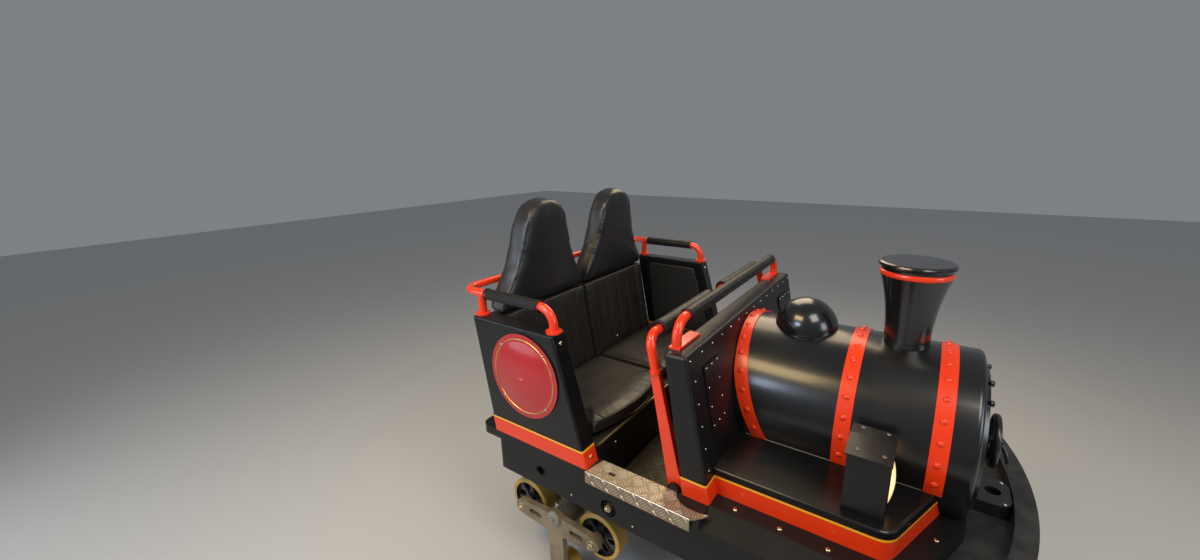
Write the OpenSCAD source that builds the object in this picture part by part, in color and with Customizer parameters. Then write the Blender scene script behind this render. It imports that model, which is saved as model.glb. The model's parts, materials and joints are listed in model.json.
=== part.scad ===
// Lead car of a small steam themed coaster train, in millimetres.
// Stations run forwards from the tail of the tub, heights from the flange of the tub,
// and place() moves both to the middle of the car on the ground.

/* [Tub] */
// Width of the car over its side panels
car_w = 1300; // [1200:1:1400]
// Station of the tub's tail
tub_tail_x = 50; // [30:1:70]
// Station of the upright rear face under the tail's ledge
tub_rear_x = 115; // [100:1:130]
// Inset of the side walls under the ledge
tub_inset = 18; // [10:1:30]
// Thickness of the ledge around the tub
ledge_t = 36; // [28:1:44]
// Depth of the upright side walls, down from the flange
tub_side_h = 188; // [160:1:220]
// Depth of the whole tub, down from the flange
tub_h = 280; // [250:1:320]
// Inset of the flat belly from the side panels
belly_inset = 150; // [100:1:200]
// Radius of the tail corners, seen from above
tail_r = 36; // [20:1:60]
// Depth of the lower edge of the sloped shoulder beside the boiler
shoulder_h = 34; // [20:1:50]
// Height of the shoulder's nose below that edge
shoulder_nose_h = 26; // [10:1:40]
// Overhang of the shoulder beyond the side walls
shoulder_out = 8; // [2:1:14]
// Width of the flat flange around the deck and the boiler front
flange_w = 64; // [40:1:80]
// Station where the nose bumper starts to wrap the tub
nose_wrap_x = 1435; // [1400:1:1480]

// Station of the round hole in the skirt
skirt_hole_x = 354; // [330:1:380]
// Depth of the round hole below the flange
skirt_hole_z = 116; // [90:1:140]
// Diameter of the round hole in the skirt
skirt_hole_d = 40; // [20:1:60]

/* [Footwell] */
// Station of the rear wall of the footwell
well_x = 588; // [580:1:600]
// Length of the footwell, toe space included
well_l = 464; // [400:1:500]
// Thickness of the tub's walls beside the footwell
well_wall_t = 59; // [50:1:80]
// Depth of the footwell
well_h = 170; // [120:1:180]
// Thickness of the checker floor plate
floor_t = 6; // [3:1:12]

/* [Nose bumper] */
// Station of the front of the bumper
nose_x = 1875; // [1840:1:1920]
// Radius of the bumper's long front curve, seen from above
nose_front_r = 1300; // [1100:10:1600]
// Radius of the bumper's front corners, seen from above
nose_r = 170; // [120:1:240]
// Height of the bumper
nose_h = 182; // [150:1:200]
// Drop of the bumper's top below the flange
nose_drop = 2; // [1:1:20]
// Width of the bumper's broad smooth rim
nose_rim_w = 56; // [40:1:80]
// Depth of the floor inside the rim, below the flange
nose_floor_z = 50; // [30:1:60]

/* [Couplings] */
// Station of the front coupling bore
coupler_x = 1769; // [1750:1:1800]
// Diameter of the coupling bores
coupler_bore_d = 44; // [30:1:50]
// Distance of the block's front from its bore
coupler_front = 46; // [40:1:60]
// Width of the front coupling block
coupler_w = 150; // [120:1:170]
// Height of the front coupling block
coupler_h = 112; // [90:1:140]
// Drop of the block's top below the flange
coupler_drop = 8; // [2:1:20]
// Radius of the block's front corners, seen from above
coupler_r = 40; // [20:1:60]
// Station of the bore in the rear drawbar
drawbar_x = -90; // [-120:1:-60]
// Width of the rear drawbar
drawbar_w = 90; // [70:1:120]
// Thickness of the rear drawbar
drawbar_t = 32; // [20:1:50]
// Height of the rear drawbar's middle above the bottom of the tub
drawbar_up = 50; // [30:1:90]

/* [Side panels] */
// Thickness of a side panel
panel_t = 72; // [60:1:80]
// Height of a side panel
panel_h = 472; // [430:1:500]
// Station of the panel's rear edge at the top
panel_top_x = 60; // [40:1:80]
// Length of the panel along its top
panel_top_l = 409; // [380:1:440]
// Station of the panel's rear edge at the bottom
panel_foot_x = 138; // [120:1:160]
// Length of the panel along its bottom
panel_foot_l = 462; // [430:1:490]
// Height of the red band around the foot of panels, wall and deck
band_h = 66; // [50:1:80]
// Stand-off of the red band from the panel above it
band_proud = 1.5; // [0.5:0.5:4]
// Radius of the rounded edges of panels and plinths
panel_r = 8; // [4:1:14]
// Thickness of the padded trim inside a panel
trim_t = 12; // [8:1:20]
// Distance of the trim from the panel's front edge
trim_front = 40; // [20:1:60]
// Distance of the trim from the panel's top
trim_drop = 30; // [15:1:50]
// Radius of the trim's corners
trim_r = 30; // [10:1:50]

/* [Roundels] */
// Diameter of the roundel's rim plate
roundel_d = 330; // [280:1:350]
// Thickness of the rim plate
roundel_t = 5; // [3:1:8]
// Diameter of the domed red disc
roundel_disc_d = 268; // [220:1:280]
// Rise of the domed disc
roundel_rise = 14; // [6:1:24]
// Height of the roundel's centre
roundel_z = 286; // [270:1:300]
// Station of the roundel's centre
roundel_x = 322; // [310:1:335]

/* [Seats] */
// Gap between a side panel and the lower back beside it
seat_side_gap = 44; // [30:1:60]
// Gap between the two seats
seat_mid_gap = 4; // [2:1:20]
// Thickness of the lower back
back_t = 96; // [80:1:120]
// Station of the lower back's front face at its foot
back_foot_x = 165; // [150:1:190]
// Station of the lower back's front face at its top seam
back_top_x = 108; // [90:1:120]
// Height of the seam between the lower back and the head shell
seam_z = 443; // [420:1:470]
// Height of the top of the head shell
head_z = 898; // [850:1:940]
// Thickness of the head shell
head_t = 100; // [80:1:120]
// Radius of the head shell's edges, seen from the side
head_r = 28; // [10:1:40]
// Forward lean of the head shell over its height
head_lean = 36; // [0:1:50]
// Height of the seat cushion's top at its front
cushion_z = 98; // [80:1:130]
// Station of the cushion's front in the middle of a seat
cushion_x = 594; // [570:1:600]
// Radius of the cushion's rounded top edge
cushion_r = 14; // [6:1:20]
// Setback of the cushion's front at its sides
cushion_scallop = 50; // [30:1:70]
// Height of the seat pan's top
pan_z = 45; // [30:1:55]
// Height of the pan's bent front lip
pan_lip_h = 84; // [60:1:100]
// Thickness of the pan's front lip
pan_t = 5; // [3:1:8]
// Thickness of the bulkhead behind the seats
bulkhead_t = 16; // [10:1:24]

/* [Cab wall] */
// Inset of the cab wall from the outside of the side panels
wall_inset = 76; // [60:1:90]
// Height of the cab wall
wall_h = 480; // [440:1:510]
// Station of the wall's rear face at its foot
wall_foot_x = 932; // [915:1:950]
// Thickness of the wall at its foot
wall_foot_t = 94; // [80:1:110]
// Station of the wall's rear face at its top
wall_top_x = 859; // [840:1:880]
// Thickness of the wall at its top
wall_top_t = 80; // [70:1:100]
// Radius of the wall's rounded top edges
wall_r = 12; // [4:1:20]
// Width of a riveted hatch plate
hatch_w = 118; // [100:1:140]
// Height of a riveted hatch plate
hatch_h = 216; // [180:1:230]
// Thickness of a hatch plate
hatch_t = 3; // [2:1:6]
// Distance of a hatch plate's middle from the end of the cab wall
hatch_inset = 157; // [140:1:180]
// Height of a hatch plate's middle
hatch_z = 307; // [290:1:320]

/* [Boiler] */
// Radius of the boiler
boiler_r = 280; // [265:1:295]
// Height of the boiler's axis
boiler_z = 170; // [155:1:185]
// Station of the boiler's front face
boiler_x = 1690; // [1660:1:1710]
// Radius of the rounded front edge
boiler_edge_r = 16; // [6:1:24]
// Radius of the smokebox door
door_r = 238; // [200:1:260]
// Thickness of the smokebox door
door_t = 14; // [8:1:24]
// Width of a red boiler band
hoop_w = 47; // [36:1:60]
// Thickness of a red boiler band
hoop_t = 4; // [3:1:8]
// Station of the rear band's middle at the running boards
hoop_foot_x = 1083; // [1060:1:1100]
// Station of the rear band's middle at the top of the boiler
hoop_top_x = 961; // [950:1:990]
// Bow of the rear band towards the cab wall
hoop_bow = 12; // [0:1:20]
// Station of the middle boiler band
hoop_mid_x = 1340; // [1300:1:1360]
// Station of the front boiler band
hoop_front_x = 1596; // [1570:1:1610]
// Diameter of the handwheel
handwheel_d = 172; // [150:1:190]
// Thickness of the handwheel's rim
handwheel_rim_d = 20; // [14:1:26]
// Distance of the handwheel in front of the boiler face
handwheel_gap = 56; // [45:1:70]

/* [Dome and chimney] */
// Station of the dome
dome_x = 1154; // [1130:1:1180]
// Radius of the dome
dome_r = 110; // [90:1:130]
// Depth of the dome's centre below the top of the boiler
dome_sink = 13; // [0:1:30]
// Radius of the lip around the dome's foot
dome_lip_r = 116; // [105:1:130]
// Depth of the lip's foot below the dome's centre
dome_lip_drop = 40; // [36:1:50]
// Depth of the lip's top below the dome's centre
dome_lip_top = 6; // [0:1:12]
// Station of the chimney
chimney_x = 1473; // [1460:1:1490]
// Radius of the chimney at its foot
chimney_foot_r = 67; // [55:1:80]
// Distance of the foot collar beyond the chimney's foot
collar_out = 3; // [1:1:10]
// Height of the foot collar above the top of the boiler
collar_h = 10; // [4:1:20]
// Radius of the chimney under its red ring
chimney_top_r = 102; // [90:1:106]
// Height of the chimney under its red ring
chimney_z = 680; // [640:1:700]
// Height of the red ring
ring_h = 18; // [12:1:24]
// Radius of the red ring
ring_r = 105; // [95:1:108]
// Radius of the chimney's lid
lid_r = 110; // [106:1:120]
// Height of the chimney's lid
lid_h = 27; // [24:1:40]

/* [Running boards] */
// Inset of the running boards from the outside of the side panels
deck_inset = 142; // [130:1:150]
// Height of the running boards' top
deck_z = 90; // [82:1:110]
// Station where a board's front corner starts
deck_corner_x = 1512; // [1490:1:1530]
// Station of a board's front edge where it meets the boiler
deck_front_x = 1628; // [1610:1:1650]
// Width over the two ends of the front edge
deck_front_w = 430; // [400:1:480]
// Radius of a board's front outer corner
deck_r = 55; // [30:1:80]
// Radius of a board's rounded top edge
deck_edge_r = 8; // [4:1:9]
// Thickness of a board's upper layer
deck_upper_t = 11; // [10:1:14]
// Height of the groove between a board's two layers
deck_groove_h = 2; // [1:1:2]
// Depth of that groove
deck_groove_t = 4; // [2:1:6]

/* [Headlamps] */
// Station of a headlamp's back
lamp_x = 1381; // [1350:1:1390]
// Length of a headlamp's box
lamp_l = 107; // [90:1:130]
// Distance of the box's outer side from the board's edge
lamp_inset = 30; // [20:1:40]
// Width of a headlamp's box
lamp_w = 137; // [100:1:150]
// Overhang of the bolted lid
lamp_lid_out = 5; // [1:1:8]
// Height of the box's inner edge
lamp_z = 284; // [260:1:300]
// Fall of the sloped outer half of the lid
lamp_slope = 14; // [5:1:40]
// Thickness of the bolted lid
lamp_lid_t = 6; // [5.5:0.5:9]
// Share of the lid's width that is flat
lamp_flat = 0.35; // [0.2:0.01:0.6]
// Margin of the lens beside the sides of the box
lens_margin = 1; // [1:1:15]
// Height of the lens's lower edge above the running board
lens_up = 26; // [10:1:40]
// Bulge of the headlamp's lens
lens_rise = 14; // [6:1:20]

/* [Steps] */
// Gap between the side panel and the step plate
step_gap = 3; // [2:1:8]
// Overhang of a step plate beyond the side panels
step_out = 14; // [8:1:25]
// Slant of the step plate's rear end
step_slant = 20; // [0:1:30]
// Length of the step plate's bent edge
step_edge_l = 398; // [370:1:410]
// Length of the tread's straight inner edge from its rear end
step_in_l = 312; // [280:1:340]
// Height of the step plate's edge, bent down
step_edge_h = 40; // [20:1:50]
// Thickness of a step plate
step_t = 4; // [3:1:6]
// Station of the pedal in the skirt below a step
pedal_x = 676; // [660:1:700]
// Depth of the pedal below the flange
pedal_z = 137; // [120:1:150]
// Distance of the slotted hole from the tread's rear end
slot_in = 55; // [40:1:80]
// Distance of the slotted hole from the bent edge
slot_out = 34; // [20:1:50]
// Length of the slotted hole
slot_l = 26; // [16:1:40]
// Width of the slotted hole
slot_w = 12; // [8:1:16]
// Diameter of the pedal's recess in the skirt
pedal_d = 64; // [50:1:80]

/* [Rails and bars] */
// Diameter of the red rail tubes
rail_d = 32; // [26:1:38]
// Diameter of the foam sleeves
sleeve_d = 46; // [40:1:54]
// Radius of a rail's bends
rail_bend_r = 62; // [50:1:80]
// Height of the side rails
rail_z = 558; // [540:1:580]
// Station of a side rail's rear post
rail_rear_x = 80; // [70:1:95]
// Station of a side rail's front foot
rail_front_x = 448; // [430:1:455]
// Diameter of the round rail flanges
rail_flange_d = 58; // [50:1:66]
// Thickness of the round rail flanges
rail_flange_t = 8; // [5:1:12]
// Distance of the cross tube behind the rear posts
cross_back = 106; // [95:1:120]
// Height of the grab bar on the cab wall
grab_z = 568; // [550:1:590]
// Station of the grab bar
grab_x = 878; // [860:1:890]
// Distance of the grab bar's feet from the ends of the cab wall
grab_inset = 54; // [40:1:70]
// Length of a grab bar's flat foot
grab_foot_l = 150; // [100:1:180]
// Width of a grab bar's flat foot
grab_foot_w = 38; // [34:1:50]

/* [Lap bars] */
// Station of the lap bars' hinge
lap_hinge_x = 900; // [880:1:910]
// Depth of the lap bars' hinge below the flange
lap_hinge_z = 6; // [0:1:20]
// Gap between a lap bar's arm and the footwell's side
lap_side_gap = 16; // [10:1:24]
// Thickness of a lap bar's flat arm
lap_arm_t = 22; // [16:1:26]
// Width of a lap bar's arm at its hinge
lap_foot_w = 50; // [40:1:60]
// Width of a lap bar's arm at its joint ring
lap_neck_w = 30; // [26:1:40]
// Station of the joint ring between flat arm and tube
lap_ring_x = 818; // [800:1:830]
// Height of the joint ring
lap_ring_z = 392; // [370:1:410]
// Station of the padded cross tube
lap_pad_x = 792; // [770:1:800]
// Height of the padded cross tube
lap_pad_z = 512; // [490:1:530]
// Diameter of the lap bar's pad
lap_pad_d = 60; // [50:1:70]
// Distance of the pad's inner end from the car's middle
lap_pad_inner = 70; // [50:1:110]
// Distance of the pad's outer end from the arm
lap_pad_inset = 64; // [55:1:80]
// Radius of the bend between a lap bar's arm and its padded tube
lap_bend_r = 45; // [30:1:55]
// Diameter of the lap bar's hinge pin
lap_pin_d = 20; // [16:1:24]

/* [Wheels] */
// Depth of the road wheels' axles below the flange
axle_drop = 410; // [390:1:430]
// Diameter of a road wheel
road_d = 200; // [180:1:220]
// Width of a road wheel
road_w = 62; // [50:1:70]
// Distance between the road wheels of one carrier
road_pitch = 376; // [350:1:400]
// Diameter of the tubular rail that the wheels embrace
track_tube_d = 90; // [80:1:110]
// Distance of the rail's middle from the car's middle
track_y = 500; // [480:1:510]
// Diameter of an up-stop wheel
upstop_d = 110; // [100:1:130]
// Width of an up-stop wheel
upstop_w = 50; // [40:1:60]
// Diameter of a guide wheel
guide_d = 130; // [110:1:150]
// Width of a guide wheel
guide_w = 44; // [36:1:50]
// Running gap between the rail and the up-stop and guide wheels
track_gap = 2; // [1:0.5:4]
// Diameter of the wheel pins
wheel_pin_d = 30; // [24:1:40]
// Diameter of the collars beside the wheels
wheel_collar_d = 50; // [40:1:56]
// Thickness of a tyre's tread
tread_t = 14; // [10:1:20]
// Thickness of the metal rim under the tread
rim_wall_t = 3; // [2:1:6]
// Thickness of the hub's wall around its pin
hub_wall_t = 9; // [6:1:12]
// Diameter of the windows in a road wheel's disc
window_d = 40; // [20:1:42]

/* [Running gear] */
// Station of the rear axle beam
rear_axle_x = 362; // [345:1:375]
// Station of the front axle beam
front_axle_x = 1462; // [1400:1:1480]
// Thickness of a carrier's side arms
arm_t = 26; // [20:1:34]
// Radius of a carrier's middle boss
arm_boss_r = 58; // [48:1:66]
// Radius of the arms where they leave the middle boss
arm_waist_r = 46; // [40:1:50]
// Radius of a carrier's ends
arm_end_r = 34; // [26:1:40]
// Length of the oval openings in a carrier's side arms
arm_slot_l = 70; // [50:1:76]
// Width of the oval openings
arm_slot_w = 26; // [16:1:32]
// Width of the hangers of the up-stop and guide wheels
hanger_w = 76; // [60:1:84]
// Clearance between the rail and the carriers' arms
rail_clear = 6; // [5:1:12]
// Distance of an axle beam's ends from the middle of the rails
beam_end_gap = 80; // [70:1:100]
// Distance between the tub's brackets on an axle beam
bracket_pitch = 600; // [500:1:700]
// Width of one of the tub's brackets
bracket_w = 120; // [80:1:150]
// Height of an axle beam
beam_h = 90; // [70:1:110]
// Width of an axle beam
beam_w = 100; // [80:1:120]
// Width of the spine between the axle beams
spine_w = 160; // [120:1:200]
// Depth that the spine is let into the axle beams
spine_sink = 11.3; // [8:0.1:30]

/* [Fits] */
// Gap between pieces that are seated on each other
seat_gap = 0.3; // [0.2:0.1:0.5]
// Radial clearance of a wheel or a lap bar on its pin
pin_gap = 0.05; // [0.02:0.01:0.1]
// Side clearance between a turning wheel and its carrier
side_gap = 5.5; // [5:0.5:8]
// Side clearance between a wheel's hub and the collars on its pin
pin_side_gap = 1; // [0.5:0.5:2]

/* [Hidden] */

$fn = 64;
black = [0.06, 0.06, 0.06];
red = [0.80, 0.10, 0.05];
silver = [0.75, 0.75, 0.72];
cast = [0.55, 0.52, 0.45];
yellow = [0.85, 0.65, 0.15];

panel_y = car_w / 2;
panel_in_y = panel_y - panel_t;
tub_w = car_w - 2 * tub_inset;
belly_w = car_w - 2 * belly_inset;
well_w = tub_w - 2 * well_wall_t;
wall_w = car_w - 2 * wall_inset;
deck_w = car_w - 2 * deck_inset;
back_w = panel_in_y - seat_side_gap - seat_mid_gap / 2;
seat_pitch = back_w + seat_mid_gap;
rail_y = panel_y - panel_t / 2;
cross_x = rail_rear_x - cross_back;
grab_y = wall_w / 2 - grab_inset;
hatch_y = wall_w / 2 - hatch_inset;
lamp_y = deck_w / 2 - lamp_inset;
lens_d = lamp_w - 2 * lens_margin;
dome_z = boiler_z + boiler_r - dome_sink;
lap_arm_y = well_w / 2 - lap_side_gap - lap_arm_t / 2;
lap_pad_outer = lap_arm_y - lap_pad_inset;
step_x = panel_foot_x + panel_foot_l + step_gap;
beam_l = 2 * (track_y - beam_end_gap);

rear_end_x = drawbar_x - drawbar_w / 2;
mid_x = (nose_x + rear_end_x) / 2;
rail_top_z = -axle_drop - road_d / 2;
upstop_z = rail_top_z - track_tube_d - track_gap - upstop_d / 2;
guide_z = rail_top_z - track_tube_d / 2;
guide_y = track_y - track_tube_d / 2 - track_gap - guide_d / 2;
ground_z = upstop_z - upstop_d / 2;
shoulder_y = deck_w / 2 + flange_w;
wall_front_x = wall_foot_x + wall_foot_t;
tub_front_x = deck_front_x + flange_w;
far = 4000;

// Tip of a step plate from the end of its inner edge: forwards, outwards
step_tip = [[13, 22], [33, 38], [60, 46], [98, 45], [130, 38], [120, 54], [103, 72]];

// Car frame: the middle of the car's length, on the ground
module place() translate([-mid_x, 0, -ground_z]) children();

// Both sides of the car
module both_sides() for (side = [0, 1]) mirror([0, side, 0]) children();

// A flat outline in the plane of length and height, extruded from y0 to y1
module side_extrude(y0, y1) translate([0, y1, 0]) rotate([90, 0, 0]) linear_extrude(y1 - y0) children();

// A flat outline in the plane of width and height, extruded from x0 to x1
module cross_extrude(x0, x1)
    translate([x0, 0, 0]) rotate([90, 0, 90]) linear_extrude(x1 - x0) children();

// A round bar along the width
module bar_y(d, y0, y1) translate([0, y0, 0]) rotate([-90, 0, 0]) cylinder(d = d, h = y1 - y0);

// A flat link between two round ends: radius r0 at the origin and r1 at the point p
module link(r0, r1, p) rotate(atan2(p[1], p[0])) {
    l = norm(p);
    a = acos((r0 - r1) / l);
    b = acos((r1 - r0) / l);
    steps = 16;
    polygon(concat(
        [for (i = [0:steps]) let (t = b * (2 * i / steps - 1)) [-r0 * cos(t), -r0 * sin(t)]],
        [for (i = [0:steps]) let (t = a * (2 * i / steps - 1)) [l + r1 * cos(t), r1 * sin(t)]]));
}

// A flat outline with its outer corners rounded
module rounded(r) offset(r = r) offset(delta = -r) children();

// A leaning block with rounded upright edges, and with a rounded top where round_top is true.
// foot and top hold the stations of its rear and front faces.
module leaning_block(foot, top, y0, y1, z0, z1, r, round_top) hull()
    for (y = [y0 + r, y1 - r], end = [0, 1]) {
        in_x = end == 0 ? r : -r;
        translate([foot[end] + in_x, y, z0]) cylinder(r = r, h = 1, $fn = 32);
        if (round_top) translate([top[end] + in_x, y, z1 - r]) sphere(r, $fn = 32);
        else translate([top[end] + in_x, y, z1 - 1]) cylinder(r = r, h = 1, $fn = 32);
    }

// Stations of a side panel's rear and front edges at a height
function panel_rear(z) = panel_foot_x + (panel_top_x - panel_foot_x) * z / panel_h;
function panel_front(z) = panel_foot_x + panel_foot_l
    + (panel_top_x + panel_top_l - panel_foot_x - panel_foot_l) * z / panel_h;
function panel_ends(z, grow) = [panel_rear(z) - grow, panel_front(z) + grow];

// Stations of the cab wall's rear and front faces at a height
function wall_rear(z) = wall_foot_x + (wall_top_x - wall_foot_x) * z / wall_h;
function wall_front(z) = wall_front_x + (wall_top_x + wall_top_t - wall_front_x) * z / wall_h;
function wall_ends(z, grow) = [wall_rear(z) - grow, wall_front(z) + grow];

// Everything behind the leaning front face of the cab wall and its plinth
module behind_wall() {
    gap = band_proud + seat_gap;
    side_extrude(-far / 2, far / 2) polygon([[-far, -far], [wall_front_x + gap, -far],
        [wall_front_x + gap, 0], [wall_front(wall_h) + gap, wall_h], [wall_front(wall_h) + gap, far],
        [-far, far]]);
}

// The space that the boiler takes, longer than the boiler itself
module boiler_space() translate([0, 0, boiler_z]) rotate([0, 90, 0])
    cylinder(r = boiler_r + seat_gap, h = far, $fn = 128);

// Station of the middle of the rear boiler band at a height
function hoop_rear(z) = let (t = (z - deck_z) / (boiler_z + boiler_r - deck_z))
    hoop_foot_x + (hoop_top_x - hoop_foot_x) * t - 4 * hoop_bow * t * (1 - t);

// The deck and boiler outline seen from above, grown by a margin
module deck_outline(grow) rounded(deck_r) {
    x1 = deck_corner_x + grow * 0.7;
    x2 = deck_front_x + grow;
    y1 = deck_w / 2 + grow;
    y2 = deck_front_w / 2 + grow * 0.4;
    polygon([[0, -y1], [x1, -y1], [x2, -y2], [x2, y2], [x1, y1], [0, y1]]);
}

// Cross-section of the tub, with upright sides up to its top or to a sloping shoulder
module tub_section(shoulder) {
    out_y = tub_w / 2 + shoulder_out;
    low_z = shoulder_h + shoulder_nose_h;
    side = shoulder ? [[tub_w / 2, -low_z], [out_y, -low_z + shoulder_out], [out_y, -shoulder_h],
        [shoulder_y, 0]] : [[tub_w / 2, 0]];
    half = concat([[belly_w / 2, -tub_h], [tub_w / 2, -tub_side_h]], side);
    last = len(half) - 1;
    polygon(concat(half, [for (i = [last:-1:0]) [-half[i][0], half[i][1]]]));
}

module tub() place() color(black) {
    difference() {
        union() {
            // ledge from the tail to the cab wall
            translate([0, 0, -ledge_t]) linear_extrude(ledge_t) intersection() {
                rounded(tail_r) translate([tub_tail_x, -panel_y]) square([far, car_w]);
                translate([0, -far / 2]) square([wall_front_x, far]);
            }
            // body under that ledge
            intersection() {
                cross_extrude(tub_rear_x, wall_front_x) tub_section(false);
                translate([0, 0, -tub_h]) linear_extrude(tub_h)
                    rounded(tail_r) translate([tub_rear_x, -tub_w / 2]) square([far, tub_w]);
            }
            // body beside the boiler
            cross_extrude(wall_front_x, nose_wrap_x) tub_section(true);
            // nose inside the bumper
            intersection() {
                cross_extrude(nose_wrap_x, far) tub_section(false);
                translate([0, 0, -tub_h]) linear_extrude(tub_h) deck_outline(flange_w);
            }
        }
        // footwell, open above as far as the cab wall and closed above its toe space
        translate([well_x, -well_w / 2, -well_h]) cube([wall_foot_x - well_x, well_w, well_h + 1]);
        translate([well_x, -well_w / 2, -well_h]) cube([well_l, well_w, well_h - shoulder_h]);
        // recess of the pedals and the round hole near the rear
        both_sides() {
            translate([pedal_x, -tub_w / 2 - 1, -pedal_z]) bar_y(pedal_d, 0, 26);
            translate([skirt_hole_x, -tub_w / 2 - 1, -skirt_hole_z]) bar_y(skirt_hole_d, 0, 30);
        }
    }
    // bosses and pins of the lap bars' hinges, on the side walls of the footwell
    both_sides() translate([lap_hinge_x, 0, -lap_hinge_z]) {
        bar_y(lap_foot_w, -well_w / 2 - 4, -lap_arm_y - lap_arm_t / 2 - 1);
        bar_y(lap_pin_d, -well_w / 2 - 4, -lap_arm_y + lap_arm_t / 2 + 4);
    }
}

module floor_plate() place() color(silver)
    translate([well_x + 1, -well_w / 2 + 1, -well_h]) cube([well_l - 2, well_w - 2, floor_t]);

// Points of an arc about a centre, from one angle to another
function arc(c, r, a0, a1, steps) =
    [for (i = [0:steps]) let (a = a0 + (a1 - a0) * i / steps) c + r * [cos(a), sin(a)]];

// The bumper seen from above, set in by a margin: a long front curve with round corners
module bumper_plan(inset, x0) {
    half_w = tub_w / 2 + shoulder_out;
    centre_x = nose_x - nose_front_r;
    corner_y = half_w - nose_r;
    corner_x = centre_x + sqrt(pow(nose_front_r - nose_r, 2) - corner_y * corner_y);
    a = asin(corner_y / (nose_front_r - nose_r));
    polygon(concat([[x0, inset - half_w]],
        arc([corner_x, -corner_y], nose_r - inset, -90, -a - 5, 12),
        arc([centre_x, 0], nose_front_r - inset, -a, a, 24),
        arc([corner_x, corner_y], nose_r - inset, a + 5, 90, 12), [[x0, half_w - inset]]));
}

module nose_bumper() place() color([0.13, 0.13, 0.13]) difference() {
    translate([0, 0, -nose_drop - nose_h]) linear_extrude(nose_h)
        bumper_plan(0, nose_wrap_x + seat_gap);
    // hollow inside the rim
    translate([0, 0, -nose_floor_z]) linear_extrude(nose_floor_z)
        bumper_plan(nose_rim_w, nose_wrap_x);
    translate([0, 0, -far / 2]) linear_extrude(far) offset(delta = seat_gap) deck_outline(flange_w);
    // slot of the front coupler, open below for its pin
    translate([tub_front_x - 1, -coupler_w / 2 - seat_gap, -far / 2])
        cube([coupler_x + coupler_front + seat_gap - tub_front_x + 1, coupler_w + 2 * seat_gap, far]);
}

module front_coupler() place() color(black) difference() {
    x0 = tub_front_x + seat_gap;
    translate([0, 0, -coupler_drop - coupler_h]) linear_extrude(coupler_h) intersection() {
        rounded(coupler_r) translate([coupler_x + coupler_front - 2 * coupler_w, -coupler_w / 2])
            square([2 * coupler_w, coupler_w]);
        translate([x0, -far / 2]) square([far, far]);
    }
    translate([coupler_x, 0, -coupler_drop - coupler_h - 1])
        cylinder(d = coupler_bore_d, h = coupler_h + 2);
}

module drawbar() place() color(cast) translate([0, 0, drawbar_up - tub_h - drawbar_t / 2]) difference() {
    union() {
        translate([drawbar_x, -drawbar_w / 2, 0])
            cube([tub_rear_x - drawbar_x - seat_gap, drawbar_w, drawbar_t]);
        translate([drawbar_x, 0, 0]) cylinder(d = drawbar_w, h = drawbar_t);
    }
    translate([drawbar_x, 0, -1]) cylinder(d = coupler_bore_d, h = drawbar_t + 2);
}

module side_panels() place() color(black) both_sides()
    leaning_block(panel_ends(band_h, 0), panel_ends(panel_h, 0), -panel_y, -panel_in_y,
        band_h, panel_h, panel_r, true);

// Red plinths under the side panels, the cab wall and the running boards
module foot_bands() place() color(red) {
    both_sides() leaning_block(panel_ends(0, band_proud), panel_ends(band_h, band_proud),
        -panel_y - band_proud, -panel_in_y, 0, band_h, panel_r, false);
    leaning_block(wall_ends(0, band_proud), wall_ends(band_h, band_proud),
        -wall_w / 2 - band_proud, wall_w / 2 + band_proud, 0, band_h, panel_r, false);
    deck_slab(0, band_h, band_proud);
}

module panel_trims() place() color([0.1, 0.1, 0.1]) both_sides()
    side_extrude(-panel_in_y + seat_gap, -panel_in_y + trim_t) rounded(trim_r) polygon([
        [back_foot_x + 10, band_h], [panel_front(band_h) - trim_front, band_h],
        [panel_front(panel_h) - trim_front, panel_h - trim_drop],
        [back_top_x + 24, panel_h - trim_drop]]);

module roundels() place() color(red) both_sides() translate([roundel_x, -panel_y - seat_gap, roundel_z])
    rotate([90, 0, 0]) {
        cylinder(d = roundel_d, h = roundel_t, $fn = 96);
        dome_sphere_r = (pow(roundel_disc_d / 2, 2) + pow(roundel_rise, 2)) / (2 * roundel_rise);
        translate([0, 0, roundel_t]) intersection() {
            translate([0, 0, roundel_rise - dome_sphere_r]) sphere(dome_sphere_r, $fn = 200);
            translate([0, 0, -0.5]) cylinder(d = roundel_disc_d, h = roundel_rise + 1, $fn = 96);
        }
    }

// A quarter bend of round tube from along +X to down, starting at the origin
module bend_down(r, d) translate([0, 0, -r]) rotate([90, 0, 0]) rotate_extrude(angle = 90)
    translate([r, 0]) circle(d = d);

module side_rails() place() color(red) {
    z_foot = panel_h + seat_gap;
    both_sides() {
        // straight grip and front bend down to its flange
        translate([cross_x + rail_bend_r, -rail_y, rail_z]) rotate([0, 90, 0])
            cylinder(d = rail_d, h = rail_front_x - cross_x - 2 * rail_bend_r);
        translate([rail_front_x - rail_bend_r, -rail_y, rail_z]) bend_down(rail_bend_r, rail_d);
        translate([rail_front_x, -rail_y, z_foot])
            cylinder(d = rail_d, h = rail_z - rail_bend_r - z_foot);
        translate([rail_front_x, -rail_y, z_foot]) cylinder(d = rail_flange_d, h = rail_flange_t);
        // rear post
        translate([rail_rear_x, -rail_y, z_foot]) cylinder(d = rail_d, h = rail_z - z_foot);
        translate([rail_rear_x, -rail_y, z_foot]) cylinder(d = rail_flange_d, h = rail_flange_t);
        // bend to the cross tube behind the seats
        translate([cross_x + rail_bend_r, -rail_y + rail_bend_r, rail_z]) rotate([0, 0, 180])
            rotate_extrude(angle = 90) translate([rail_bend_r, 0]) circle(d = rail_d);
    }
    translate([cross_x, 0, rail_z]) bar_y(rail_d, -rail_y + rail_bend_r, rail_y - rail_bend_r);
}

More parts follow.
